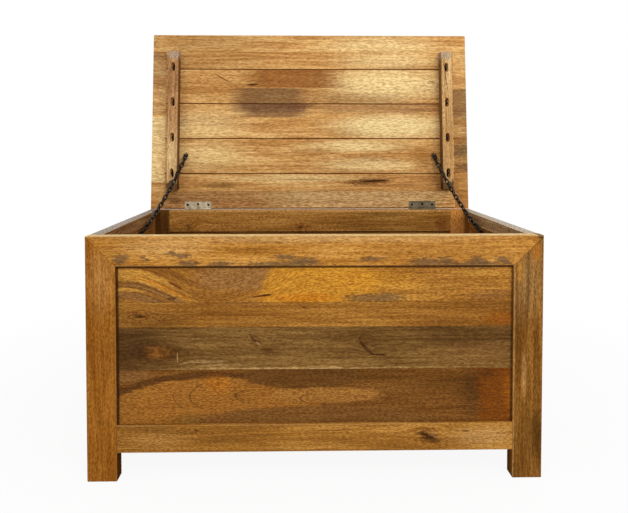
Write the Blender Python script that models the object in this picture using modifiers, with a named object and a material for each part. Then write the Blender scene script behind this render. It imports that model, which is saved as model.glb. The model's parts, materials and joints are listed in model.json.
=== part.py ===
"""Blanket chest: a framed wooden box with a plank lid on two butt hinges.

The lid stands open, leaning back against two link chains, which is how the chest is used.
Chest coordinates: X across, Y from the front face to the back, Z up from the floor.
Lid coordinates: the same directions with the lid shut, measured from the hinge axis.
"""

import math

import bmesh
import bpy
from mathutils import Matrix, Vector

# Overall sizes, in metres
CHEST_WIDTH = 0.900
CHEST_DEPTH = 0.500
BODY_HEIGHT = 0.485
LID_THICKNESS = 0.022
OPEN_ANGLE = math.radians(95.7)

# Fits between pieces
SEAT_GAP = 0.0003
LID_GAP = 0.0006
PIN_PLAY = 0.00015

# Front and back frames
FRAME_THICKNESS = 0.028
LEG_WIDTH = 0.059
TOP_RAIL_HEIGHT = 0.059
BOTTOM_RAIL_HEIGHT = 0.055
FOOT_HEIGHT = 0.057
EDGE_RADIUS = 0.002
EDGE_SEGMENTS = 2

# Panels, held in grooves all round
PANEL_SETBACK = 0.007
PANEL_THICKNESS = 0.012
GROOVE_DEPTH = 0.006
LOWER_BOARD_WIDTHS = (0.1075, 0.0845, 0.0490)

# Side frames and the screwed strip along the inside of each rim
SIDE_THICKNESS = 0.020
SIDE_STILE_WIDTH = 0.047
SIDE_SETBACK = 0.005
SIDE_PANEL_THICKNESS = 0.010
RIM_STRIP_END_GAP = 0.0034
RIM_STRIP_HEIGHT = 0.028
RIM_STRIP_THICKNESS = 0.0060
RIM_HOLE_COUNT = 3
RIM_HOLE_PITCH = 0.1085
RIM_HOLE_DROP = 0.0095
RIM_HOLE_RADIUS = 0.0038
RIM_HOLE_DEPTH = 0.0040

# Stub tenons on every rail that stands between two posts
TENON_LENGTH = 0.022
TENON_HEIGHT = 0.030
TENON_THICKNESS = 0.008

# Floor of the chest and the bearers it lies on
FLOOR_THICKNESS = 0.012
BEARER_WIDTH = 0.020
BEARER_HEIGHT = 0.020
BEARER_RISE = 0.010

# Lid: a rail along each long edge, a strip at each end and planks between
LID_RAIL_WIDTH = 0.050
LID_END_WIDTH = 0.0385
LID_PLANK_WIDTH = 0.100
LID_LEAST_PLANK = 0.030
LID_EDGE_RADIUS = 0.003
VEE_WIDTH = 0.0020

# Battens screwed across the planks through slots that let the wood move
BATTEN_FROM_END = 0.049
BATTEN_END_GAP = 0.005
BATTEN_WIDTH = 0.030
BATTEN_THICKNESS = 0.030
BATTEN_BEVEL = 0.020
SLOT_WIDTH = 0.011
SLOT_LENGTH = 0.026
SLOT_DEPTH = 0.012
SLOT_NECK = 0.0055
SLOT_ARC_POINTS = 7

# Butt hinges
HINGE_FROM_END = 0.133
HINGE_LENGTH = 0.075
HINGE_KNUCKLES = 5
KNUCKLE_GAP = 0.0004
LEAF_WIDTH = 0.0215
LEAF_THICKNESS = 0.0018
BARREL_RADIUS = 0.0032
PIN_RADIUS = 0.0016
PIN_TIP_RADIUS = 0.0026
PIN_TIP_LENGTH = 0.0012
LEAF_HOLE_FROM_END = 0.0085
LEAF_HOLE_STAGGER = 0.0020
LEAF_HOLE_FROM_EDGE = 0.0100
LEAF_HOLE_RADIUS = 0.0020
LEAF_SINK_RADIUS = 0.0036

# Fineness of round shapes
ROUND_SIDES = 20
DOME_POINTS = 4
SMOOTH_ANGLE = math.radians(35)
WELD_DISTANCE = 0.000002

# Stay chains and the screws that hold their ends
LINK_PITCH = 0.0142
LINK_WIDTH = 0.0114
LINK_WIRE_RADIUS = 0.0018
LINK_BITE = 0.0008
LINK_SIDES = 6
LINK_TURNS = 10
CURVE_STEPS = 400
CHAIN_SLACK = 0.005
CHAIN_LID_FROM_END = 0.098
CHAIN_LID_FROM_HINGE = 0.152
CHAIN_WALL_FROM_BACK = 0.220
CHAIN_BELOW_STRIP = 0.022
CHAIN_STRIP_CLEARANCE = 0.0024
LID_STANDOFF = 0.0045
SCREW_NECK_RADIUS = 0.0017
SCREW_SHANK_LENGTH = 0.012
SCREW_HEAD_RADIUS = 0.0046
SCREW_HEAD_HEIGHT = 0.0028

# Places that follow from the sizes above
HALF_WIDTH = CHEST_WIDTH / 2
PANEL_BOTTOM = FOOT_HEIGHT + BOTTOM_RAIL_HEIGHT
PANEL_TOP = BODY_HEIGHT - TOP_RAIL_HEIGHT
LEAN = OPEN_ANGLE - math.pi / 2
LID_BACK_REACH = CHEST_DEPTH * math.sin(LEAN) + (LID_THICKNESS + LID_GAP / 2) * math.cos(LEAN)
FRONT_Y = -(CHEST_DEPTH + LID_BACK_REACH) / 2
HINGE_AXIS = Vector((0, CHEST_DEPTH, BODY_HEIGHT + LID_GAP / 2))
WALL_STANDOFF = RIM_STRIP_THICKNESS + CHAIN_STRIP_CLEARANCE
LID_FRONT_SEAM = CHEST_DEPTH - LID_RAIL_WIDTH
LID_SEAMS = [
    count * LID_PLANK_WIDTH
    for count in range(math.ceil(LID_FRONT_SEAM / LID_PLANK_WIDTH))
    if LID_RAIL_WIDTH + LID_LEAST_PLANK < count * LID_PLANK_WIDTH < LID_FRONT_SEAM - LID_LEAST_PLANK
]
SIDES = (("left", -1), ("right", 1))

# Finishes: linear colour, roughness and metallic value
WOOD_FRONT = ((0.40, 0.16, 0.035), 0.45, 0.0)
WOOD_INSIDE = ((0.16, 0.060, 0.018), 0.60, 0.0)
WOOD_LID = ((0.50, 0.23, 0.055), 0.50, 0.0)
ZINC = ((0.45, 0.44, 0.42), 0.38, 1.0)
BRONZE = ((0.035, 0.026, 0.018), 0.42, 0.9)


def clear_scene():
    """Remove whatever the open file holds."""
    for old in list(bpy.data.objects):
        bpy.data.objects.remove(old, do_unlink=True)


def new_collection(name):
    """A collection in the scene for the parts or for the cutters."""
    made = bpy.data.collections.new(name)
    bpy.context.scene.collection.children.link(made)
    return made


def new_empty(name, parent=None):
    """An empty that carries pieces and gives them its axes."""
    made = bpy.data.objects.new(name, None)
    PARTS.objects.link(made)
    made.parent = parent
    return made


def finish(name, look):
    """The Principled material of one piece."""
    colour, roughness, metallic = look
    made = bpy.data.materials.new(name + "_finish")
    made.use_nodes = True
    shader = made.node_tree.nodes["Principled BSDF"]
    shader.inputs["Base Color"].default_value = (*colour, 1)
    shader.inputs["Roughness"].default_value = roughness
    shader.inputs["Metallic"].default_value = metallic
    return made


def add_piece(name, shape, place, look, parent, smooth=False):
    """Make a piece from a bmesh or a mesh, with its own material."""
    data = shape
    if isinstance(shape, bmesh.types.BMesh):
        data = bpy.data.meshes.new(name)
        shape.to_mesh(data)
        shape.free()
    made = bpy.data.objects.new(name, data)
    PARTS.objects.link(made)
    made.parent = parent
    made.location = place
    data.materials.clear()
    data.materials.append(finish(name, look))
    if smooth:
        data.shade_smooth()
        data.set_sharp_from_angle(angle=SMOOTH_ANGLE)
    return made


def add_cutter(name, shape, place, parent):
    """A wire-frame object that only shapes other pieces."""
    data = bpy.data.meshes.new(name)
    shape.to_mesh(data)
    shape.free()
    made = bpy.data.objects.new(name, data)
    CUTTERS.objects.link(made)
    made.parent = parent
    made.location = place
    made.hide_render = True
    made.display_type = "WIRE"
    return made


def carve(piece, cutter, operation="DIFFERENCE"):
    """Cut a piece with a cutter, or join the two."""
    step = piece.modifiers.new(cutter.name, "BOOLEAN")
    step.operation = operation
    step.object = cutter
    step.solver = "EXACT"


def box(low, high):
    """A box between two corners, centred on its own origin, and the place of its centre."""
    low = Vector(low)
    high = Vector(high)
    mesh = bmesh.new()
    bmesh.ops.create_cube(mesh, size=1.0)
    bmesh.ops.scale(mesh, vec=high - low, verts=mesh.verts)
    return mesh, (low + high) / 2


def cut_box(name, low, high, parent):
    """A box-shaped cutter."""
    return add_cutter(name, *box(low, high), parent)


def across(side, inner, outer):
    """The low and high X of something that lies between two distances from the middle."""
    return sorted((side * inner, side * outer))


def saw(mesh, point, outward):
    """Saw off what lies beyond a plane and close the cut."""
    everything = mesh.verts[:] + mesh.edges[:] + mesh.faces[:]
    bmesh.ops.bisect_plane(
        mesh, geom=everything, plane_co=point, plane_no=outward, clear_outer=True
    )
    bmesh.ops.holes_fill(mesh, edges=mesh.edges, sides=0)


def ease(mesh, corners, radius, segments=EDGE_SEGMENTS):
    """Round the edges named by the two outer faces that meet there, such as -y+z."""
    reach = {}
    for index, letter in enumerate("xyz"):
        places = [vert.co[index] for vert in mesh.verts]
        reach["-" + letter] = (index, min(places))
        reach["+" + letter] = (index, max(places))

    def lies_on(edge, face):
        index, limit = reach[face]
        return all(abs(vert.co[index] - limit) < SEAT_GAP / 10 for vert in edge.verts)

    chosen = [
        edge
        for edge in mesh.edges
        if any(lies_on(edge, pair[:2]) and lies_on(edge, pair[2:]) for pair in corners)
    ]
    bmesh.ops.bevel(
        mesh, geom=chosen, offset=radius, segments=segments, profile=0.5, affect="EDGES"
    )


def grow_tenons(mesh, length_axis, thin_axis):
    """Grow a stub tenon out of both ends of a rail."""
    mesh.normal_update()
    ends = [face for face in mesh.faces if round(abs(face.normal[length_axis])) == 1]
    for end in ends:
        outward = end.normal.copy()
        bmesh.ops.inset_region(mesh, faces=[end], thickness=TENON_THICKNESS / 4)
        for vert in end.verts:
            vert.co[thin_axis] = math.copysign(TENON_THICKNESS / 2, vert.co[thin_axis])
            vert.co.z = math.copysign(TENON_HEIGHT / 2, vert.co.z)
        grown = bmesh.ops.extrude_face_region(mesh, geom=[end])["geom"]
        tip = [item for item in grown if isinstance(item, bmesh.types.BMVert)]
        bmesh.ops.translate(mesh, verts=tip, vec=outward * (TENON_LENGTH - SEAT_GAP))
        bmesh.ops.delete(mesh, geom=[end], context="FACES_ONLY")


def cut_mortise(post, name, mouth, length_axis, thin_axis):
    """Cut the mortise that takes one tenon, from its mouth on the post's face."""
    half = Vector((TENON_HEIGHT / 2 + SEAT_GAP,) * 3)
    half[thin_axis] = TENON_THICKNESS / 2 + SEAT_GAP
    half[length_axis] = TENON_LENGTH
    carve(post, cut_box(name, mouth - half, mouth + half, CHEST))


def turned_piece(name, outline, place, look, parent, turn):
    """A turned solid: an outline of radius and height, from top to bottom, spun about Z."""
    mesh = bmesh.new()
    points = [mesh.verts.new((radius, 0, height)) for radius, height in outline]
    for upper, lower in zip(points, points[1:]):
        mesh.edges.new((upper, lower))
    made = add_piece(name, mesh, place, look, parent)
    made.rotation_euler = turn
    step = made.modifiers.new("turn", "SCREW")
    step.steps = ROUND_SIDES
    step.render_steps = ROUND_SIDES
    step.use_merge_vertices = True
    step.merge_threshold = WELD_DISTANCE
    step.use_smooth_shade = True


def extruded(name, outlines, depth, turn):
    """A flat outline, with any holes, extruded evenly about its plane and made a mesh."""
    curve = bpy.data.curves.new(name, "CURVE")
    curve.dimensions = "2D"
    curve.fill_mode = "BOTH"
    curve.extrude = depth / 2
    for outline in outlines:
        spline = curve.splines.new("POLY")
        spline.points.add(len(outline) - 1)
        for point, (u, v) in zip(spline.points, outline):
            point.co = (u, v, 0, 1)
        spline.use_cyclic_u = True
    drawn = bpy.data.objects.new(name, curve)
    bpy.context.scene.collection.objects.link(drawn)
    graph = bpy.context.evaluated_depsgraph_get()
    data = bpy.data.meshes.new_from_object(drawn.evaluated_get(graph))
    bpy.data.objects.remove(drawn, do_unlink=True)
    mesh = bmesh.new()
    mesh.from_mesh(data)
    bmesh.ops.remove_doubles(mesh, verts=mesh.verts, dist=WELD_DISTANCE)
    mesh.transform(turn)
    bmesh.ops.recalc_face_normals(mesh, faces=mesh.faces)
    return mesh


def arc(radius, start, end, count, centre=(0, 0)):
    """Evenly spaced points along a circular arc."""
    steps = [start + (end - start) * index / (count - 1) for index in range(count)]
    return [(centre[0] + radius * math.cos(a), centre[1] + radius * math.sin(a)) for a in steps]


def panel_pocket(name, low, high):
    """The space that the panel's grooves take out of the frame around it."""
    gap = Vector((SEAT_GAP, SEAT_GAP, SEAT_GAP))
    return cut_box(name, Vector(low) - gap, Vector(high) + gap, CHEST)


def front_frame():
    """Two legs and a top rail, mitred together, a bottom rail between the legs, and four boards."""
    opening = HALF_WIDTH - LEG_WIDTH
    grooved = opening + GROOVE_DEPTH - SEAT_GAP
    panel_low = Vector((-grooved, PANEL_SETBACK, PANEL_BOTTOM - GROOVE_DEPTH + SEAT_GAP))
    panel_high = Vector(
        (grooved, PANEL_SETBACK + PANEL_THICKNESS, PANEL_TOP + GROOVE_DEPTH - SEAT_GAP)
    )
    pocket = panel_pocket("front_panel_pocket", panel_low, panel_high)

    top_mesh, top_place = box(
        (-HALF_WIDTH, 0, PANEL_TOP), (HALF_WIDTH, FRAME_THICKNESS, BODY_HEIGHT)
    )
    rail_mid = FOOT_HEIGHT + BOTTOM_RAIL_HEIGHT / 2
    for side_name, side in SIDES:
        mesh, place = box(
            (across(side, opening, HALF_WIDTH)[0], 0, 0),
            (across(side, opening, HALF_WIDTH)[1], FRAME_THICKNESS, BODY_HEIGHT),
        )
        corner = Vector((side * HALF_WIDTH, 0, BODY_HEIGHT))
        toward_rail = Vector((-side * TOP_RAIL_HEIGHT, 0, LEG_WIDTH)).normalized()
        saw(mesh, corner - toward_rail * SEAT_GAP / 2 - place, toward_rail)
        saw(top_mesh, corner + toward_rail * SEAT_GAP / 2 - top_place, -toward_rail)
        outer = "-x" if side < 0 else "+x"
        inner = "+x" if side < 0 else "-x"
        ease(mesh, ("-y" + outer, "-y" + inner, "-y-z", outer + "-z", inner + "-z"), EDGE_RADIUS)
        leg = add_piece(f"front_{side_name}_leg", mesh, place, WOOD_FRONT, CHEST)
        carve(leg, pocket)
        mouth = Vector((side * opening, FRAME_THICKNESS / 2, rail_mid))
        cut_mortise(leg, f"front_{side_name}_mortise", mouth, 0, 1)
    ease(top_mesh, ("-y+z", "+y+z", "-y-z"), EDGE_RADIUS)
    top_rail = add_piece("front_top_rail", top_mesh, top_place, WOOD_FRONT, CHEST)
    carve(top_rail, pocket)

    mesh, place = box(
        (-opening + SEAT_GAP, 0, FOOT_HEIGHT), (opening - SEAT_GAP, FRAME_THICKNESS, PANEL_BOTTOM)
    )
    grow_tenons(mesh, 0, 1)
    ease(mesh, ("-y-z", "-y+z", "+y-z"), EDGE_RADIUS)
    bottom_rail = add_piece("front_bottom_rail", mesh, place, WOOD_FRONT, CHEST)
    carve(bottom_rail, pocket)

    seams = [panel_low.z]
    height = PANEL_BOTTOM
    for width in LOWER_BOARD_WIDTHS:
        height += width
        seams.append(height)
    seams.append(panel_high.z + SEAT_GAP)
    for number, (under, over) in enumerate(zip(seams, seams[1:]), start=1):
        mesh, place = box(
            (panel_low.x, panel_low.y, under), (panel_high.x, panel_high.y, over - SEAT_GAP)
        )
        add_piece(f"front_board_{number}", mesh, place, WOOD_FRONT, CHEST)


def back_frame():
    """Two full-height legs with both rails and a panel between them."""
    opening = HALF_WIDTH - LEG_WIDTH
    grooved = opening + GROOVE_DEPTH - SEAT_GAP
    inside = CHEST_DEPTH - FRAME_THICKNESS
    panel_low = Vector(
        (-grooved, CHEST_DEPTH - PANEL_SETBACK - PANEL_THICKNESS, PANEL_BOTTOM - GROOVE_DEPTH + SEAT_GAP)
    )
    panel_high = Vector((grooved, CHEST_DEPTH - PANEL_SETBACK, PANEL_TOP + GROOVE_DEPTH - SEAT_GAP))
    pocket = panel_pocket("back_panel_pocket", panel_low, panel_high)
    rails = (
        ("back_top_rail", PANEL_TOP, BODY_HEIGHT, ("-y+z", "+y+z", "+y-z")),
        ("back_bottom_rail", FOOT_HEIGHT, PANEL_BOTTOM, ("+y-z", "+y+z", "-y-z")),
    )
    made = {}
    for name, low, high, corners in rails:
        mesh, place = box(
            (-opening + SEAT_GAP, inside, low), (opening - SEAT_GAP, CHEST_DEPTH, high)
        )
        grow_tenons(mesh, 0, 1)
        ease(mesh, corners, EDGE_RADIUS)
        made[name] = add_piece(name, mesh, place, WOOD_INSIDE, CHEST)
        carve(made[name], pocket)
    for side_name, side in SIDES:
        low_x, high_x = across(side, opening, HALF_WIDTH)
        mesh, place = box((low_x, inside, 0), (high_x, CHEST_DEPTH, BODY_HEIGHT))
        outer = "-x" if side < 0 else "+x"
        inner = "+x" if side < 0 else "-x"
        corners = ("+y" + outer, "+y" + inner, "+y+z", outer + "+z", "+y-z", outer + "-z")
        ease(mesh, corners, EDGE_RADIUS)
        leg = add_piece(f"back_{side_name}_leg", mesh, place, WOOD_INSIDE, CHEST)
        carve(leg, pocket)
        for name, low, high, _ in rails:
            mouth = Vector((side * opening, inside + FRAME_THICKNESS / 2, (low + high) / 2))
            cut_mortise(leg, f"{name}_{side_name}_mortise", mouth, 0, 1)
    mesh, place = box(panel_low, panel_high)
    add_piece("back_panel", mesh, place, WOOD_INSIDE, CHEST)
    return made["back_top_rail"]


def side_frame(side_name, side):
    """One end of the chest: two stiles behind the legs, two rails, a panel and the rim strip."""
    front = FRAME_THICKNESS + SEAT_GAP
    back = CHEST_DEPTH - FRAME_THICKNESS - SEAT_GAP
    rail_front = front + SIDE_STILE_WIDTH
    rail_back = back - SIDE_STILE_WIDTH
    inside = HALF_WIDTH - SIDE_THICKNESS
    thickness = across(side, inside, HALF_WIDTH)
    panel_outer = HALF_WIDTH - SIDE_SETBACK
    panel_x = across(side, panel_outer - SIDE_PANEL_THICKNESS, panel_outer)
    groove = GROOVE_DEPTH - SEAT_GAP
    panel_low = (panel_x[0], rail_front - groove, PANEL_BOTTOM - groove)
    panel_high = (panel_x[1], rail_back + groove, PANEL_TOP + groove)
    pocket = panel_pocket(f"{side_name}_panel_pocket", panel_low, panel_high)
    outer = "-x" if side < 0 else "+x"
    inner = "+x" if side < 0 else "-x"
    rails = (
        ("top", PANEL_TOP, BODY_HEIGHT, (outer + "+z", outer + "-z")),
        ("bottom", FOOT_HEIGHT, PANEL_BOTTOM, (outer + "+z", outer + "-z", inner + "-z")),
    )
    made = {}
    for name, low, high, corners in rails:
        mesh, place = box(
            (thickness[0], rail_front + SEAT_GAP, low), (thickness[1], rail_back - SEAT_GAP, high)
        )
        grow_tenons(mesh, 1, 0)
        ease(mesh, corners, EDGE_RADIUS)
        made[name] = add_piece(f"{side_name}_{name}_rail", mesh, place, WOOD_FRONT, CHEST)
        carve(made[name], pocket)
    stiles = (("front", front, rail_front, rail_front), ("rear", rail_back, back, rail_back))
    for name, low_y, high_y, mouth_y in stiles:
        mesh, place = box((thickness[0], low_y, 0), (thickness[1], high_y, BODY_HEIGHT))
        ease(mesh, (outer + "+z", outer + "-z"), EDGE_RADIUS)
        stile = add_piece(f"{side_name}_{name}_stile", mesh, place, WOOD_FRONT, CHEST)
        carve(stile, pocket)
        for rail, low, high, _ in rails:
            mouth = Vector((side * (inside + SIDE_THICKNESS / 2), mouth_y, (low + high) / 2))
            cut_mortise(stile, f"{side_name}_{name}_{rail}_mortise", mouth, 1, 0)
    mesh, place = box(panel_low, panel_high)
    add_piece(f"{side_name}_panel", mesh, place, WOOD_FRONT, CHEST)
    rim_strip(side_name, side, inside, (front, rail_back - RIM_STRIP_END_GAP))
    return made["top"]


def rim_strip(side_name, side, wall, span):
    """The strip along the inside of the rim, with its counterbored screw holes."""
    front, back = span
    strip_face = wall - SEAT_GAP - RIM_STRIP_THICKNESS
    low_x, high_x = across(side, strip_face, wall - SEAT_GAP)
    top = BODY_HEIGHT
    mesh, place = box(
        (low_x, front, top - RIM_STRIP_HEIGHT), (high_x, back, top)
    )
    inner = "+x" if side < 0 else "-x"
    ease(mesh, (inner + "+z", inner + "-z", inner + "+y"), EDGE_RADIUS / 2)
    strip = add_piece(f"{side_name}_rim_strip", mesh, place, WOOD_INSIDE, CHEST)
    bores = bmesh.new()
    lie_across = Matrix.Rotation(math.pi / 2, 4, "Y")
    for index in range(RIM_HOLE_COUNT):
        along = (index - (RIM_HOLE_COUNT - 1) / 2) * RIM_HOLE_PITCH
        bmesh.ops.create_cone(
            bores,
            cap_ends=True,
            segments=ROUND_SIDES,
            radius1=RIM_HOLE_RADIUS,
            radius2=RIM_HOLE_RADIUS,
            depth=RIM_HOLE_DEPTH * 2,
            matrix=Matrix.Translation((0, along, 0)) @ lie_across,
        )
    middle = Vector((side * strip_face, (front + back) / 2, top - RIM_HOLE_DROP))
    carve(strip, add_cutter(f"{side_name}_rim_bores", bores, middle, CHEST))


def chest_floor():
    """The floor panel and the four bearers under its edges."""
    wide = HALF_WIDTH - SIDE_THICKNESS - SEAT_GAP
    front = FRAME_THICKNESS + SEAT_GAP
    back = CHEST_DEPTH - FRAME_THICKNESS - SEAT_GAP
    low = FOOT_HEIGHT + BEARER_RISE
    high = low + BEARER_HEIGHT
    end_front = front + BEARER_WIDTH + SEAT_GAP
    end_back = back - BEARER_WIDTH - SEAT_GAP
    bearers = (
        ("front", (-wide, front, low), (wide, front + BEARER_WIDTH, high)),
        ("back", (-wide, back - BEARER_WIDTH, low), (wide, back, high)),
        ("left", (-wide, end_front, low), (-wide + BEARER_WIDTH, end_back, high)),
        ("right", (wide - BEARER_WIDTH, end_front, low), (wide, end_back, high)),
    )
    for name, start, end in bearers:
        mesh, place = box(start, end)
        add_piece(f"floor_{name}_bearer", mesh, place, WOOD_INSIDE, CHEST)
    mesh, place = box(
        (-wide, front, high + SEAT_GAP), (wide, back, high + SEAT_GAP + FLOOR_THICKNESS)
    )
    add_piece("floor_panel", mesh, place, WOOD_INSIDE, CHEST)


def lid_box(low_x, high_x, near, far, low=0.0, high=LID_THICKNESS):
    """A lid piece by its distances from the hinge edge and its depth from the lid's inner face."""
    return box((low_x, -far, LID_GAP / 2 + low), (high_x, -near, LID_GAP / 2 + high))


def lid_boards():
    """Rails, end strips and planks of the lid."""
    plank_edge = HALF_WIDTH - LID_END_WIDTH - SEAT_GAP
    around = LID_EDGE_RADIUS

    mesh, place = lid_box(-HALF_WIDTH, HALF_WIDTH, LID_FRONT_SEAM, CHEST_DEPTH)
    ease(mesh, ("-y-z", "-y+z", "-x-y", "+x-y", "-x+z", "+x+z", "-x-z", "+x-z"), around)
    add_piece("lid_front_rail", mesh, place, WOOD_LID, LID)

    for side_name, side in SIDES:
        low_x, high_x = across(side, HALF_WIDTH - LID_END_WIDTH, HALF_WIDTH)
        mesh, place = lid_box(low_x, high_x, 0, LID_FRONT_SEAM - SEAT_GAP)
        outer = "-x" if side < 0 else "+x"
        ease(mesh, (outer + "-z", outer + "+z", "+y+z"), around)
        add_piece(f"lid_{side_name}_end", mesh, place, WOOD_LID, LID)

    mesh, place = lid_box(-plank_edge, plank_edge, 0, LID_RAIL_WIDTH - SEAT_GAP)
    ease(mesh, ("+y+z",), around)
    rear_rail = add_piece("lid_rear_rail", mesh, place, WOOD_LID, LID)

    seams = [LID_RAIL_WIDTH, *LID_SEAMS, LID_FRONT_SEAM]
    planks = []
    for number, (near, far) in enumerate(zip(seams, seams[1:]), start=1):
        mesh, place = lid_box(-plank_edge, plank_edge, near, far - SEAT_GAP)
        vees = []
        if near in LID_SEAMS:
            vees += ["+y-z", "+y+z"]
        if far in LID_SEAMS:
            vees += ["-y-z", "-y+z"]
        ease(mesh, vees, VEE_WIDTH, segments=1)
        plank = add_piece(f"lid_plank_{number}", mesh, place, WOOD_LID, LID)
        planks.append((plank, near, far))
    return rear_rail, planks


def slot_shape(width, depth):
    """A round-ended slot for a batten screw, standing on its own middle."""
    straight = (SLOT_LENGTH - SLOT_WIDTH) / 2
    upper = arc(width / 2, 0, math.pi, SLOT_ARC_POINTS, (0, straight))
    lower = arc(width / 2, math.pi, 2 * math.pi, SLOT_ARC_POINTS, (0, -straight))
    return extruded("slot", [upper + lower], depth, Matrix.Identity(4))


def batten(side_name, side):
    """A bevelled batten with a slotted counterbore over every seam between planks."""
    outer_edge = HALF_WIDTH - BATTEN_FROM_END
    low_x, high_x = across(side, outer_edge - BATTEN_WIDTH, outer_edge)
    near = LID_RAIL_WIDTH + BATTEN_END_GAP
    far = LID_FRONT_SEAM - BATTEN_END_GAP
    mesh, place = lid_box(low_x, high_x, near, far, -SEAT_GAP - BATTEN_THICKNESS, -SEAT_GAP)
    ease(mesh, ("-x-z", "+x-z"), EDGE_RADIUS, segments=1)
    ease(mesh, ("-y-z", "+y-z"), BATTEN_BEVEL, segments=1)
    made = add_piece(f"lid_{side_name}_batten", mesh, place, WOOD_LID, LID)
    face = LID_GAP / 2 - SEAT_GAP - BATTEN_THICKNESS
    for name, width, depth in (
        ("counterbore", SLOT_WIDTH, SLOT_DEPTH * 2),
        ("neck", SLOT_NECK, BATTEN_THICKNESS * 3),
    ):
        cuts = bmesh.new()
        for seam in LID_SEAMS:
            one = slot_shape(width, depth)
            one.transform(Matrix.Translation((0, -seam, 0)))
            data = bpy.data.meshes.new("slot")
            one.to_mesh(data)
            one.free()
            cuts.from_mesh(data)
            bpy.data.meshes.remove(data)
        slots = add_cutter(f"{side_name}_batten_{name}", cuts, (place.x, 0, face), LID)
        carve(made, slots)


def leaf_section():
    """A hinge leaf in section: a flat plate that curls into a round eye about the pin."""
    upper = -LID_GAP / 2
    lower = upper - LEAF_THICKNESS
    start = math.pi + math.asin(-lower / BARREL_RADIUS)
    end = 3 * math.pi + math.asin(-upper / BARREL_RADIUS)
    eye = arc(BARREL_RADIUS, start, end, ROUND_SIDES)
    outline = [(-LEAF_WIDTH, upper), (-LEAF_WIDTH, lower)] + eye
    bore = arc(PIN_RADIUS + PIN_PLAY, 0, 2 * math.pi, ROUND_SIDES + 1)[:-1]
    return [outline, bore]


def knuckle_gaps(first):
    """Boxes that clear the other leaf's knuckles, every second one from first."""
    pitch = HINGE_LENGTH / HINGE_KNUCKLES
    reach = BARREL_RADIUS + SEAT_GAP
    gaps = bmesh.new()
    for index in range(first, HINGE_KNUCKLES, 2):
        low = -HINGE_LENGTH / 2 + index * pitch - KNUCKLE_GAP / 2
        size = Vector((pitch + KNUCKLE_GAP, reach * 2, reach * 2))
        middle = Vector((low + size.x / 2, 0, 0))
        bmesh.ops.create_cube(gaps, matrix=Matrix.Translation(middle) @ Matrix.Diagonal((*size, 1)))
    return gaps


def leaf_holes():
    """Three countersunk screw holes, the middle one set a little further from the pin."""
    holes = bmesh.new()
    end = HINGE_LENGTH / 2 - LEAF_HOLE_FROM_END
    depth = LEAF_THICKNESS * 2
    flare = (LEAF_SINK_RADIUS - LEAF_HOLE_RADIUS) / 2
    for along, offset in ((-end, 0), (0, LEAF_HOLE_STAGGER), (end, 0)):
        back = LEAF_WIDTH - LEAF_HOLE_FROM_EDGE + offset
        bmesh.ops.create_cone(
            holes,
            cap_ends=True,
            segments=ROUND_SIDES,
            radius1=LEAF_HOLE_RADIUS - flare,
            radius2=LEAF_SINK_RADIUS + flare,
            depth=depth,
            matrix=Matrix.Translation((along, -back, -LID_GAP / 2 - LEAF_THICKNESS / 2)),
        )
    return holes


def hinge_recess(name, rail, place, parent, over):
    """Let one leaf and the barrel into a rail; over is the side the wood lies on."""
    leaf_half = HINGE_LENGTH / 2 + SEAT_GAP
    barrel_half = leaf_half + PIN_TIP_LENGTH + SEAT_GAP
    beyond = BARREL_RADIUS * 2
    for part, half, reach, depth in (
        ("leaf", leaf_half, LEAF_WIDTH, LID_GAP / 2 + LEAF_THICKNESS),
        ("barrel", barrel_half, BARREL_RADIUS, BARREL_RADIUS),
    ):
        depths = sorted((-over * beyond, over * (depth + SEAT_GAP)))
        low = place + Vector((-half, -reach - SEAT_GAP, depths[0]))
        high = place + Vector((half, beyond, depths[1]))
        carve(rail, cut_box(f"{name}_{part}_recess", low, high, parent))


def hinge(side_name, side, chest_rail, lid_rail):
    """One butt hinge: a leaf let into the back rail, a leaf let into the lid, and the pin."""
    along = side * (HALF_WIDTH - HINGE_FROM_END)
    section_to_chest = Matrix(((0, 0, 1, 0), (1, 0, 0, 0), (0, 1, 0, 0), (0, 0, 0, 1)))
    fold_over = Matrix.Rotation(math.pi, 4, "Y")
    leaves = (
        ("chest_leaf", CHEST, HINGE_AXIS, Matrix.Identity(4), 1, -1, chest_rail),
        ("lid_leaf", LID, Vector(), fold_over, 0, 1, lid_rail),
    )
    for name, parent, axis, fold, first_gap, wood_side, rail in leaves:
        place = axis + Vector((along, 0, 0))
        full_name = f"{side_name}_hinge_{name}"
        shapes = (
            extruded(full_name, leaf_section(), HINGE_LENGTH, section_to_chest),
            knuckle_gaps(first_gap),
            leaf_holes(),
        )
        for shape in shapes:
            shape.transform(fold)
        leaf = add_piece(full_name, shapes[0], place, ZINC, parent, smooth=True)
        carve(leaf, add_cutter(full_name + "_gaps", shapes[1], place, parent))
        carve(leaf, add_cutter(full_name + "_holes", shapes[2], place, parent))
        hinge_recess(full_name, rail, place, parent, wood_side)
    half = HINGE_LENGTH / 2 + SEAT_GAP
    dome = arc(1, math.pi / 2, 0, DOME_POINTS)
    upper = [(PIN_TIP_RADIUS * u, half + PIN_TIP_LENGTH * v) for u, v in dome]
    upper.append((PIN_RADIUS, half))
    lower = [(radius, -height) for radius, height in reversed(upper)]
    turned_piece(
        f"{side_name}_hinge_pin",
        upper + lower,
        HINGE_AXIS + Vector((along, 0, 0)),
        ZINC,
        CHEST,
        (0, math.pi / 2, 0),
    )


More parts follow.
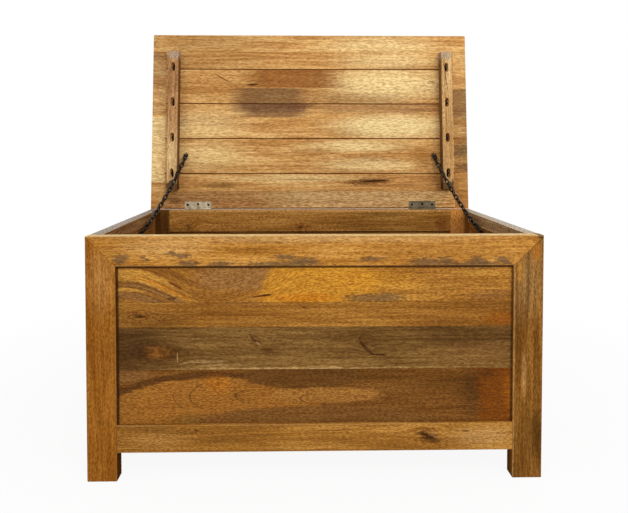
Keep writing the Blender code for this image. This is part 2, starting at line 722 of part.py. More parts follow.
def link_mesh(length):
    """One chain link: a wire ring drawn out to the length between its end wires."""
    radius = LINK_WIDTH / 2 - LINK_WIRE_RADIUS
    bpy.ops.mesh.primitive_torus_add(
        major_segments=LINK_TURNS,
        minor_segments=LINK_SIDES,
        major_radius=radius,
        minor_radius=LINK_WIRE_RADIUS,
    )
    ring = bpy.context.object
    mesh = bmesh.new()
    mesh.from_mesh(ring.data)
    bpy.data.objects.remove(ring, do_unlink=True)
    draw = length / 2 - radius
    for vert in mesh.verts:
        vert.co.x += math.copysign(draw, vert.co.x)
    return mesh


def link_placed(start, end, normal):
    """A link that pulls between two contact points, lying square to normal."""
    along = end - start
    reach = along.length + 2 * LINK_WIRE_RADIUS - LINK_BITE
    along.normalize()
    upright = (normal - along * normal.dot(along)).normalized()
    sideways = upright.cross(along)
    place = Matrix((along, sideways, upright)).transposed().to_4x4()
    place.translation = (start + end) / 2
    mesh = link_mesh(reach)
    mesh.transform(place)
    return mesh


def hanging_points(start, end, pitch):
    """Contact points of evenly pitched links on a slack curve between two points."""
    span = (end - start).length
    sag = span * math.sqrt(3 / 8 * CHAIN_SLACK)
    curve = []
    for index in range(CURVE_STEPS + 1):
        share = index / CURVE_STEPS
        point = start.lerp(end, share)
        point.z -= 4 * sag * share * (1 - share)
        curve.append(point)
    travelled = [0.0]
    for before, after in zip(curve, curve[1:]):
        travelled.append(travelled[-1] + (after - before).length)
    count = 2 * max(1, round(travelled[-1] / pitch / 2))
    points = []
    index = 0
    for number in range(count + 1):
        wanted = travelled[-1] * number / count
        while index < CURVE_STEPS - 1 and travelled[index + 1] < wanted:
            index += 1
        share = (wanted - travelled[index]) / (travelled[index + 1] - travelled[index])
        points.append(curve[index].lerp(curve[index + 1], share))
    return points


def lid_to_chest(point):
    """A point of the shut lid, measured from the hinge axis, where it is with the lid open."""
    return Matrix.Rotation(-OPEN_ANGLE, 3, "X") @ Vector(point) + HINGE_AXIS


def chain_screw(name, parent, seat, outward, standoff):
    """The round-headed screw through a chain's end link, seated on the wood along outward."""
    neck = standoff + LINK_WIRE_RADIUS + SEAT_GAP
    dome = arc(1, math.pi / 2, 0, DOME_POINTS)
    outline = [(SCREW_HEAD_RADIUS * u, neck + SCREW_HEAD_HEIGHT * v) for u, v in dome]
    outline += [
        (SCREW_NECK_RADIUS, neck),
        (SCREW_NECK_RADIUS, SCREW_NECK_RADIUS - SCREW_SHANK_LENGTH),
        (0, -SCREW_SHANK_LENGTH),
    ]
    turned_piece(name, outline, seat, BRONZE, parent, outward.to_track_quat("Z", "Y").to_euler())


def pilot_hole(name, parent, seat, outward):
    """The hole in the wood that takes a chain screw's shank."""
    hole = bmesh.new()
    bmesh.ops.create_cone(
        hole,
        cap_ends=True,
        segments=ROUND_SIDES,
        radius1=SCREW_NECK_RADIUS + SEAT_GAP,
        radius2=SCREW_NECK_RADIUS + SEAT_GAP,
        depth=2 * (SCREW_SHANK_LENGTH + SEAT_GAP),
    )
    made = add_cutter(name, hole, seat, parent)
    made.rotation_euler = outward.to_track_quat("Z", "Y").to_euler()
    return made


def end_link_points(seat, outward, toward, standoff):
    """Where an end link, lying along the wood under its screw head, starts and lets go."""
    flat = (toward - outward * toward.dot(outward)).normalized()
    lifted = seat + outward * standoff
    back = SCREW_NECK_RADIUS + SEAT_GAP + LINK_BITE / 2
    return lifted - flat * back, lifted + flat * (LINK_PITCH - back)


def stay_chain(side_name, side, wall_rail, planks):
    """A chain from the side wall to the lid: its links, touching end to end, and its two screws."""
    wall_out = Vector((-side, 0, 0))
    wall_seat = Vector(
        (
            side * (HALF_WIDTH - SIDE_THICKNESS),
            CHEST_DEPTH - CHAIN_WALL_FROM_BACK,
            BODY_HEIGHT - RIM_STRIP_HEIGHT - CHAIN_BELOW_STRIP,
        )
    )
    lid_x = side * (HALF_WIDTH - CHAIN_LID_FROM_END)
    lid_local = Vector((lid_x, -CHAIN_LID_FROM_HINGE, LID_GAP / 2))
    lid_seat = lid_to_chest(lid_local)
    lid_out = Matrix.Rotation(-OPEN_ANGLE, 3, "X") @ Vector((0, 0, -1))

    pull = lid_seat - wall_seat
    wall_start, wall_end = end_link_points(wall_seat, wall_out, pull, WALL_STANDOFF)
    lid_start, lid_end = end_link_points(lid_seat, lid_out, -pull, LID_STANDOFF)
    points = hanging_points(wall_end, lid_end, LINK_PITCH)
    links = [(wall_start, wall_end, wall_out)]
    upright = lid_out.cross(points[-1] - points[0])
    for index, (start, end) in enumerate(zip(points, points[1:])):
        normal = upright if index % 2 else (end - start).cross(upright)
        links.append((start, end, normal))
    links.append((lid_end, lid_start, lid_out))

    rows = (bmesh.new(), bmesh.new())
    for index, (start, end, normal) in enumerate(links):
        one = link_placed(start, end, normal)
        data = bpy.data.meshes.new("link")
        one.to_mesh(data)
        one.free()
        rows[index % 2].from_mesh(data)
        bpy.data.meshes.remove(data)
    chain = add_piece(f"{side_name}_chain", rows[0], (0, 0, 0), BRONZE, CHEST, smooth=True)
    carve(chain, add_cutter(f"{side_name}_chain_second_links", rows[1], (0, 0, 0), CHEST), "UNION")

    chain_screw(f"{side_name}_chain_wall_screw", CHEST, wall_seat, wall_out, WALL_STANDOFF)
    carve(wall_rail, pilot_hole(f"{side_name}_wall_pilot", CHEST, wall_seat, wall_out))
    shut_out = Vector((0, 0, -1))
    chain_screw(f"{side_name}_chain_lid_screw", LID, lid_local, shut_out, LID_STANDOFF)
    pilot = pilot_hole(f"{side_name}_lid_pilot", LID, lid_local, shut_out)
    reach = SCREW_NECK_RADIUS + SEAT_GAP
    for plank, near, far in planks:
        if near - reach < CHAIN_LID_FROM_HINGE < far + reach:
            carve(plank, pilot)


def build_chest():
    """Build every piece of the chest."""
    front_frame()
    back_rail = back_frame()
    chest_floor()
    lid_rail, planks = lid_boards()
    for side_name, side in SIDES:
        wall_rail = side_frame(side_name, side)
        batten(side_name, side)
        hinge(side_name, side, back_rail, lid_rail)
        stay_chain(side_name, side, wall_rail, planks)


clear_scene()
PARTS = new_collection("blanket_chest")
CUTTERS = new_collection("blanket_chest_cutters")
CHEST = new_empty("chest_frame")
CHEST.location = (0, FRONT_Y, 0)
LID = new_empty("lid_hinge_axis", CHEST)
LID.location = HINGE_AXIS
LID.rotation_euler = (-OPEN_ANGLE, 0, 0)
build_chest()
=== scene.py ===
# %% [markdown]
# # A wooden blanket chest with its lid propped open
# The real chest is joiner's work: a front and a back frame of rails and legs, boards let into them, a lid
# of planks on two hinges, and two fine chains that stop the lid. Its solids come finished from the
# joinery model, so this lesson only dresses them. Loading them first fixes every size.

# %% Load the solids
import json
import math
from collections import namedtuple

import bpy
from mathutils import Matrix, Vector


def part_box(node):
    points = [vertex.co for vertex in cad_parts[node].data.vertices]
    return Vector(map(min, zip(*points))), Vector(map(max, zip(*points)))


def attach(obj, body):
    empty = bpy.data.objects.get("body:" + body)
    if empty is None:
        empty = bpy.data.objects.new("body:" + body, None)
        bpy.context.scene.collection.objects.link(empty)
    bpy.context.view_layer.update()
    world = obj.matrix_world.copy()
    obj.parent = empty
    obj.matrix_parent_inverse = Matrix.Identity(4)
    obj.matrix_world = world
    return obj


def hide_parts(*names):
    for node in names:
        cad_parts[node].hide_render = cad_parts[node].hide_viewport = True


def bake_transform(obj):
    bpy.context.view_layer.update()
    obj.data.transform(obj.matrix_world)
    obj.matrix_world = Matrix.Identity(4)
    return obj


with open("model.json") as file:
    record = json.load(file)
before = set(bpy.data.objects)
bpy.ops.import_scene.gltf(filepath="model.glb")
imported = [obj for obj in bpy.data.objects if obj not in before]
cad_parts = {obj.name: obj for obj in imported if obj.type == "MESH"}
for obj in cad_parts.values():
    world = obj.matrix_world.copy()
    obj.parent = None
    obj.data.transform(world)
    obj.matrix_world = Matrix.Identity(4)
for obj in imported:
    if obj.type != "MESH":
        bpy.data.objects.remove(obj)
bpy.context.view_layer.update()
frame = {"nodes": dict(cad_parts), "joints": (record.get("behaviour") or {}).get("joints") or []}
solids = frame["nodes"]

# %% [markdown]
# ## Shader sums as plain sums
# Wood grain is arithmetic on positions, and arithmetic in a node tree is slow to read. A small class
# stands for an output socket and turns `+ - * **` into Math nodes, also where the number comes first.
# Everything else is added by one method, which sets a node up before it fills in or links its sockets,
# and four short methods name the nodes that come up most. Wiring each node by hand would give the same
# tree in four times the lines.

# %% A class for sockets and a class for trees
class Value:
    """An output socket, on which sums can be written."""

    def __init__(self, tree, socket):
        self.tree = tree
        self.socket = socket

    def sum(self, operation, first, second=0.0):
        return self.tree.node("ShaderNodeMath", {"operation": operation}, {0: first, 1: second})

    def __add__(self, other):
        return self.sum("ADD", self, other)

    def __radd__(self, other):
        return self.sum("ADD", other, self)

    def __sub__(self, other):
        return self.sum("SUBTRACT", self, other)

    def __rsub__(self, other):
        return self.sum("SUBTRACT", other, self)

    def __mul__(self, other):
        return self.sum("MULTIPLY", self, other)

    def __rmul__(self, other):
        return self.sum("MULTIPLY", other, self)

    def __pow__(self, other):
        return self.sum("POWER", self, other)


class Tree:
    """A node tree that is filled node by node."""

    def __init__(self, node_tree):
        self.nodes = node_tree.nodes
        self.links = node_tree.links
        self.nodes.clear()

    def node(self, kind, settings, inputs, out=0):
        """Adds a node, sets it up, fills its sockets and returns one of its outputs."""
        made = self.nodes.new(kind)
        for name, setting in settings.items():
            if name == "stops":
                self.set_stops(made.color_ramp.elements, setting)
            else:
                setattr(made, name, setting)
        for name, given in inputs.items():
            if isinstance(given, Value):
                self.links.new(given.socket, made.inputs[name])
            else:
                made.inputs[name].default_value = given
        return Value(self, made.outputs[out]) if made.outputs else None

    def object_place(self):
        return self.node("ShaderNodeTexCoord", {}, {}, out="Object")

    def part(self, where, axis):
        return self.node("ShaderNodeSeparateXYZ", {}, {0: where}, out=axis)

    def mix(self, share, first, second, blend="MIX"):
        settings = {"data_type": "RGBA", "blend_type": blend}
        return self.node("ShaderNodeMix", settings, {0: share, 6: first, 7: second}, out=2)

    def spread(self, value, low, high, start=0.0, end=1.0):
        """Stretches low..high to start..end with soft ends."""
        inputs = {"Value": value, "From Min": low, "From Max": high, "To Min": start, "To Max": end}
        return self.node("ShaderNodeMapRange", {"interpolation_type": "SMOOTHSTEP"}, inputs)

    def set_stops(self, elements, stops):
        while len(elements) < len(stops):
            elements.new(1.0)
        for element, (place, colour) in zip(elements, stops):
            element.position = place
            element.color = colour


def paint(red, green, blue):
    """A colour as a paint chart gives it, 0 to 255, as the linear light that shaders reckon in."""
    def linear(channel):
        share = channel / 255
        return share / 12.92 if share <= 0.04045 else ((share + 0.055) / 1.055) ** 2.4
    return (linear(red), linear(green), linear(blue), 1.0)


print("paint(128, 128, 128) is", round(paint(128, 128, 128)[0], 3), "in linear light")

# %% [markdown]
# ## Where the picture is taken from
# The chest is seen from the front, a little left of its middle and above its rim, with the uprights kept
# parallel as a product photographer's shifting lens does it. A plain camera tilted down would make the
# legs lean together, so the camera stays almost level and its frame is shifted down instead.

# %% Set up the camera
def new_object(name, data):
    """An object that is in the scene."""
    made = bpy.data.objects.new(name, data)
    bpy.context.collection.objects.link(made)
    return made


IMAGE_WIDTH = 628
FOCAL_LENGTH_IN_PIXELS = 573.43
FRAME_SHIFT = (0.0093, -0.1461)
CAMERA_PLACE = (-0.0347, -1.4026, 0.6563)
DEGREES_DOWN = 1.64
DEGREES_RIGHT = 1.002
camera = new_object("camera", bpy.data.cameras.new("camera"))
camera.data.lens = camera.data.sensor_width * FOCAL_LENGTH_IN_PIXELS / IMAGE_WIDTH
camera.data.shift_x, camera.data.shift_y = FRAME_SHIFT
camera.location = CAMERA_PLACE
camera.rotation_euler = (math.radians(90 - DEGREES_DOWN), 0, math.radians(-DEGREES_RIGHT))
bpy.context.scene.camera = camera
bpy.context.scene.view_settings.view_transform = "Standard"
print(f"camera with a {camera.data.lens:.1f} mm lens")

# %% [markdown]
# ## A white studio
# Product pictures stand on a white sweep under large soft lamps. More light would make the background
# white and wash the wood out too, so the white is told to the rays instead: rays from the camera and from
# reflections meet a white world, and all others meet a softer one that only lights. The floor does the
# same in part, so that the chest keeps its shadow on it.

# %% White world and pale floor
WHITE = (1, 1, 1, 1)
PAPER_COLOUR = (0.9, 0.9, 0.9, 1)
SKY_LIGHT = 0.6
FLOOR_SIZE = 30.0
FLOOR_WHITENESS = 0.92
SHADOW_REACH = (0.7, 1.5)


def seen_directly(tree):
    """1 for rays from the camera, from a reflection or through glass, and 0 for rays that only light."""
    def ray(kind):
        return tree.node("ShaderNodeLightPath", {}, {}, out=kind)
    seen = ray("Is Camera Ray") + ray("Is Glossy Ray") + ray("Is Transmission Ray")
    return tree.node("ShaderNodeClamp", {}, {0: seen})


world = bpy.data.worlds.new("studio")
world.use_nodes = True
bpy.context.scene.world = world
sky = Tree(world.node_tree)
sky_colour = sky.mix(seen_directly(sky), (SKY_LIGHT, SKY_LIGHT, SKY_LIGHT, 1), WHITE)
background = sky.node("ShaderNodeBackground", {}, {"Color": sky_colour})
sky.node("ShaderNodeOutputWorld", {}, {"Surface": background})

floor_mesh = bpy.data.meshes.new("floor")
half_floor = FLOOR_SIZE / 2
corners = [(x * half_floor, y * half_floor, 0) for x, y in ((-1, -1), (1, -1), (1, 1), (-1, 1))]
floor_mesh.from_pydata(corners, [], [(0, 1, 2, 3)])
floor = new_object("floor", floor_mesh)
floor_paint = bpy.data.materials.new("floor_paper")
floor_paint.use_nodes = True
floor_mesh.materials.append(floor_paint)
paper = Tree(floor_paint.node_tree)
from_middle = {0: paper.object_place()}
distance = paper.node("ShaderNodeVectorMath", {"operation": "LENGTH"}, from_middle, out="Value")
fade = paper.spread(distance, *SHADOW_REACH, FLOOR_WHITENESS, 1.0)
matt = paper.node("ShaderNodeBsdfDiffuse", {}, {"Color": PAPER_COLOUR})
white = paper.node("ShaderNodeEmission", {}, {"Color": WHITE})
paper_mix = paper.node("ShaderNodeMixShader", {}, {0: seen_directly(paper) * fade, 1: matt, 2: white})
paper.node("ShaderNodeOutputMaterial", {}, {"Surface": paper_mix})
print(f"floor {FLOOR_SIZE:.0f} m wide, sky light {SKY_LIGHT}")

# %% Soft lamps
Lamp = namedtuple("Lamp", "name place size watts")
LAMPS = (
    Lamp("key_lamp", (1.5, -2.4, 2.3), 2.2, 41.0),
    Lamp("fill_lamp", (-2.0, -2.0, 1.8), 2.2, 13.0),
)
AIM = Vector((0, 0, 0.4))
for lamp in LAMPS:
    light = bpy.data.lights.new(lamp.name, "AREA")
    light.energy = lamp.watts
    light.size = lamp.size
    lamp_object = new_object(lamp.name, light)
    lamp_object.location = lamp.place
    lamp_object.rotation_euler = (AIM - Vector(lamp.place)).to_track_quat("-Z", "Y").to_euler()
print(", ".join(f"{lamp.name} {lamp.watts} W" for lamp in LAMPS))

# %% [markdown]
# ## Wood that is lively
# The boards are a varnished hardwood with restless colour: honey beside smoke brown, dark knots, short
# pores. Pictures of real boards could be wrapped on, but they would stretch and repeat. Here every board
# is grown from noise that is drawn out along its own grain, so the figure runs on round the edges as in
# solid wood. Coordinates are turned first, so that one recipe serves upright legs, long rails and the
# leaning lid.

# %% Grain coordinates
hinge = frame["joints"][0]
HINGE_POINT = Vector(hinge["pos_m"])
LEAN = math.radians(hinge["range_deg"][1] - 90)
LID_TURN = Matrix.Rotation(-LEAN, 3, "X")


def grain_axes(grain):
    """The numbers of the axes that lie along, across and through a board, from letters such as XZY."""
    return ["XYZ".index(letter) for letter in grain]


def grain_coordinates(finish, grain, on_lid):
    """Positions along the grain, across the face and through the board, in metres."""
    place = finish.object_place()
    if on_lid:
        turned = {"Vector": place, "Location": HINGE_POINT, "Rotation": (-LEAN, 0, 0)}
        place = finish.node("ShaderNodeMapping", {"vector_type": "TEXTURE"}, turned)
    parts = [finish.part(place, axis) for axis in grain_axes(grain)]
    return finish.node("ShaderNodeCombineXYZ", {}, dict(enumerate(parts)))


def board_box(solid, grain, on_lid):
    """Lowest and highest place of a board along, across and through its grain."""
    points = [solid.matrix_world @ vertex.co for vertex in solid.data.vertices]
    if on_lid:
        points = [LID_TURN.transposed() @ (point - HINGE_POINT) for point in points]
    return [(min(p[axis] for p in points), max(p[axis] for p in points)) for axis in grain_axes(grain)]


for name in ("front_top_rail", "lid_plank_3"):
    box = board_box(solids[name], "XZY", name.startswith("lid"))
    print(name, "lies across its grain from", " to ".join(f"{side:.4f}" for side in box[1]), "m")

# %% [markdown]
# ## The moves of a finish
# Besides mixing and spreading, most of a finish comes down to two moves: draw noise at a size given in
# metres, and ask how deep a point lies inside an ellipse. The ellipse is how knots, stains and cracks get
# their places: a crack is only a very thin one. Three more moves shift positions, find the arrises of a
# board and close the tree with a shader.

# %% A class for finishes
THROUGH_AND_THROUGH = 10.0
SEED_STEPS = (3.71, 7.13, 5.37)


class Finish(Tree):
    """A material with the few moves that all finishes here are made of."""

    def __init__(self, name):
        self.material = bpy.data.materials.new(name)
        self.material.use_nodes = True
        super().__init__(self.material.node_tree)

    def cloud(self, where, size, seed, detail=2.0):
        """Noise whose blots measure size, along, across and through."""
        scale = tuple(1 / side for side in size)
        shift = tuple(seed * step for step in SEED_STEPS)
        settings = {"operation": "MULTIPLY_ADD"}
        placed = self.node("ShaderNodeVectorMath", settings, {0: where, 1: scale, 2: shift})
        return self.node("ShaderNodeTexNoise", {}, {"Vector": placed, "Scale": 1.0, "Detail": detail})

    def moved(self, where, along, across):
        """Positions shifted along and across by values."""
        step = self.node("ShaderNodeCombineXYZ", {}, {0: along, 1: across})
        return self.node("ShaderNodeVectorMath", {"operation": "ADD"}, {0: where, 1: step})

    def inside(self, where, along, across, half_length, half_width, turn=0):
        """1 at the middle of an ellipse on the face of the board, falling to 0 at its rim."""
        inputs = {
            "Vector": where,
            "Location": (along, across, 0),
            "Rotation": (0, 0, math.radians(turn)),
            "Scale": (half_length, half_width, THROUGH_AND_THROUGH),
        }
        placed = self.node("ShaderNodeMapping", {"vector_type": "TEXTURE"}, inputs)
        settings = {"gradient_type": "SPHERICAL"}
        return self.node("ShaderNodeTexGradient", settings, {"Vector": placed}, out="Fac")

    def arris_distance(self, where, box):
        """How far a point of the surface is from the nearest arris of its board."""
        gaps = []
        for axis, (low, high) in enumerate(box):
            part = self.part(where, axis)
            gaps.append(part.sum("MINIMUM", part - low, high - part))
        first, second, third = gaps
        nearer = first.sum("MINIMUM", first, second)
        farther = first.sum("MAXIMUM", first, second)
        return first.sum("MAXIMUM", nearer, first.sum("MINIMUM", farther, third))

    def surface(self, inputs, height, depth):
        """Closes the tree with one shader, whose bumps are depth metres high."""
        normal = self.node("ShaderNodeBump", {}, {"Strength": 1.0, "Distance": depth, "Height": height})
        shader = self.node("ShaderNodeBsdfPrincipled", {}, {**inputs, "Normal": normal})
        self.node("ShaderNodeOutputMaterial", {}, {"Surface": shader})
        return self.material


def dress(name, material):
    """Gives a solid its finish."""
    solids[name].material_slots[0].material = material


print("moves: cloud, moved, inside, arris_distance, surface")

# %% [markdown]
# ## What each board has that no other has
# Noise alone makes boards that are alike. What makes this chest that chest is a handful of accidents: a
# smoke-brown cloud, a honey-yellow sweep, knots, cracks and nested arches. Each is written as a mark with
# its place in metres. A blot lies where it is put, a streak follows the grain, and a bend or a knot turns
# the grain itself aside, so that everything drawn along it flows round.

# %% Marks
PLACE = "along across half_length half_width"
OVAL = f"colour {PLACE} strength edge turn"
Blot = namedtuple("Blot", OVAL, defaults=(0.7, 0.8, 0))
Stain = namedtuple("Stain", OVAL, defaults=(0.8, 0.25, 0))
Line = namedtuple("Line", OVAL, defaults=(0.85, 0.5, 0))
Streak = namedtuple("Streak", OVAL, defaults=(0.7, 0.7, 0))
Patch = namedtuple("Patch", "colour start end low high strength fade side", defaults=(0.8, 0.03, 0.001))
Knot = namedtuple("Knot", PLACE + " turn rings strength", defaults=(0, 4, 0.6))
Arch = namedtuple("Arch", f"colour {PLACE} reach strength", defaults=(0.04, 0.55))
Block = namedtuple("Block", "colour low high strength", defaults=(0.6,))
Bend = namedtuple("Bend", "along half_length depth")

HONEY = paint(206, 142, 44)
AMBER = paint(202, 122, 26)
COPPER = paint(164, 106, 42)
RUST = paint(112, 52, 16)
UMBER = paint(60, 34, 12)
SMOKE = paint(142, 98, 52)
SLATE = paint(112, 84, 54)
OLIVE = paint(126, 92, 38)
CREAM = paint(224, 180, 116)
STRAW = paint(255, 224, 158)
PEARL = paint(218, 212, 196)
ASH = paint(190, 186, 176)
GREY = paint(126, 90, 56)
PLUM = paint(112, 74, 52)
BARK = paint(92, 56, 22)
TONGUE = paint(160, 104, 40)
SWEEP = paint(206, 150, 64)
SPECK_SIZE = (0.006, 0.002, 0.002)
SPECK_FORCE = 2.2
SPECK_SPAN = (0.05, 0.5)
KNOT_HEART = (0.66, 0.84)
KNOT_FADE = 0.5
ARCH_LINE = (0.0003, 0.0013)
ARCH_SPREAD = 1.3
ARCH_FADE = 0.5
BLOCK_EDGE = 0.0005
PARTING = 0.55
PARTING_FADE = 0.6


def depth_in(finish, where, mark):
    """How deep a point lies inside a mark: 1 at its middle, 0 at its rim."""
    return finish.inside(where, mark.along, mark.across, mark.half_length, mark.half_width, mark.turn)


def lay_oval(finish, where, colour, mark):
    """A blot, a line or a streak: an oval of colour with a soft rim."""
    share = finish.spread(depth_in(finish, where, mark), 0, mark.edge, 0, mark.strength)
    return finish.mix(share, colour, mark.colour)


def lay_stain(finish, where, colour, mark):
    """A blot that rough wood has taken up in specks."""
    depth = depth_in(finish, where, mark)
    specks = finish.cloud(where, SPECK_SIZE, mark.along)
    share = finish.spread(depth + (specks - 0.5) * SPECK_FORCE, *SPECK_SPAN, 0, mark.strength)
    return finish.mix(share * finish.spread(depth, 0, mark.edge), colour, mark.colour)


def lay_patch(finish, where, colour, mark):
    """A stretch of a board with frayed ends, between two nearly straight sides."""
    along = finish.part(where, 0)
    across = finish.part(where, 1)
    share = finish.spread(along, mark.start, mark.start + mark.fade, 0, mark.strength)
    share = share * finish.spread(along, mark.end, mark.end - mark.fade)
    share = share * finish.spread(across, mark.low, mark.low + mark.side)
    share = share * finish.spread(across, mark.high, mark.high - mark.side)
    return finish.mix(share, colour, mark.colour)


def lay_knot(finish, where, colour, mark):
    """A dark heart with rings round it that fade outwards."""
    depth = depth_in(finish, where, mark)
    ring = depth.sum("FRACT", depth * mark.rings) ** 2
    colour = finish.mix(ring * finish.spread(depth, 0, KNOT_FADE, 0, mark.strength), colour, RUST)
    return finish.mix(finish.spread(depth, *KNOT_HEART, 0, mark.strength), colour, UMBER)


def lay_arch(finish, where, colour, mark):
    """A thin oval line, as the year rings make on a board cut flat, as far as reach from its left end."""
    depth = finish.inside(where, mark.along, mark.across, 2 * mark.half_length, 2 * mark.half_width)
    off_line = depth.sum("ABSOLUTE", depth - 0.5)
    mean_width = 2 * math.sqrt(mark.half_length * mark.half_width)
    line = finish.spread(off_line * mean_width, *ARCH_LINE, mark.strength, 0)
    tip_along = mark.along - mark.half_length
    tip = finish.inside(where, tip_along, mark.across, mark.reach, ARCH_SPREAD * mark.half_width)
    return finish.mix(line * finish.spread(tip, 0, ARCH_FADE), colour, mark.colour)


def lay_block(finish, where, colour, mark):
    """A stretch with straight ends: a glued block, painted shade in a groove or a painted highlight."""
    across = finish.part(where, 1)
    middle = (mark.low + mark.high) / 2
    off_middle = across.sum("ABSOLUTE", across - middle)
    half = (mark.high - mark.low) / 2
    share = finish.spread(off_middle, half - BLOCK_EDGE, half, mark.strength, 0)
    return finish.mix(share, colour, mark.colour)


def bend_grain(finish, where, bent, mark):
    """Lets the grain dip by depth, or rise where depth is negative."""
    bell = finish.inside(where, mark.along, 0, mark.half_length, THROUGH_AND_THROUGH)
    return finish.moved(bent, 0.0, finish.spread(bell, 0, 1, 0, mark.depth))


def part_grain(finish, where, bent, mark):
    """Lets the grain part and flow round a knot."""
    reach = (2 * mark.half_length, 2 * mark.half_width)
    bell = finish.inside(where, mark.along, mark.across, *reach, mark.turn)
    across = finish.part(where, 1)
    share = finish.spread(bell, 0, PARTING_FADE, 0, PARTING)
    return finish.moved(bent, 0.0, (mark.across - across) * share)


BENDING = {Bend: bend_grain, Knot: part_grain}
LAYING = {
    Blot: (lay_oval, "ragged"),
    Stain: (lay_stain, "ragged"),
    Patch: (lay_patch, "frayed"),
    Streak: (lay_oval, "grain"),
    Knot: (lay_knot, "ragged"),
    Line: (lay_oval, "exact"),
    Arch: (lay_arch, "swayed"),
    Block: (lay_block, "exact"),
}
print(len(LAYING), "kinds of mark are laid on,", len(BENDING), "bend the grain")

# %% [markdown]
# ## One recipe for all the wood
# From coarse to fine: a slow sway bends the grain, broad clouds and streaks choose between three tones,
# contour lines of a long noise give the nested year rings, then come the marks, the flecks, the fibres,
# the short dark pores and the pale wear on the arrises. Each layer is noise drawn out along the grain,
# which is what makes noise look like timber. Wood reddens where it darkens, so the flecks and fibres lie
# between a deep warm tint and a fair one, not between greys. Roughness and bump take some of the same
# layers, so light breaks where the colour does. The varnish is thin and old, so it mirrors less than a
# fresh one would.

# %% The wood recipe
SWAY = 0.014
SWAY_SIZE = (0.26, 0.07, 0.07)
CLOUD_SIZE = (0.34, 0.05, 0.05)
CLOUD_SHARE = 0.55
TONE_SPAN = (0.3, 0.7)
STREAK_SIZE = (0.15, 0.006, 0.006)
STREAK_SHARE = 0.16
STREAK_RISE = 0.3
RING_SIZE = (0.5, 0.05, 0.05)
RING_COUNT = 9
RING_SHARPNESS = 4
RING_FORCE = 1.4
FINE_FLECK = (0.0068, 0.002, 0.002)
FLECK_SPAN = (0.34, 0.66)
FLECK_SHARE = 0.56
FLECK_RISE = 0.4
FIBRE_SIZE = (0.045, 0.0017, 0.0017)
FIBRE_SPAN = (0.28, 0.72)
FIBRE_SHARE = 0.28
FIBRE_RISE = 0.5
FIBRE_ROUGHNESS = 0.08
PORE_SIZE = (0.009, 0.0016, 0.0016)
PORE_SPAN = (0.62, 0.78)
PORE_DARKNESS = 0.45
PORE_ROUGHNESS = 0.15
FRINGE = 0.05
FRINGE_SIZE = (0.05, 0.006, 0.006)
RAG = 0.007
RAG_SIZE = (0.03, 0.006, 0.006)
WEAR_WIDTH = 0.002
WEAR_FRAY = 0.002
VARNISH_SHINE = 0.05
VARNISH_ROUGHNESS = 0.44
DULL = {"wear": 0.15, "shine": 0.0}
WOOD_BUMP = 0.0003
DEEP = (0.72, 0.63, 0.54, 1)
FAIR = (1.3, 1.38, 1.48, 1)
Tones = namedtuple("Tones", "dark middle light")


def timber(*tones):
    """A dark, a middle and a light tone, each as a paint chart gives it."""
    return Tones(*(paint(*tone) for tone in tones))


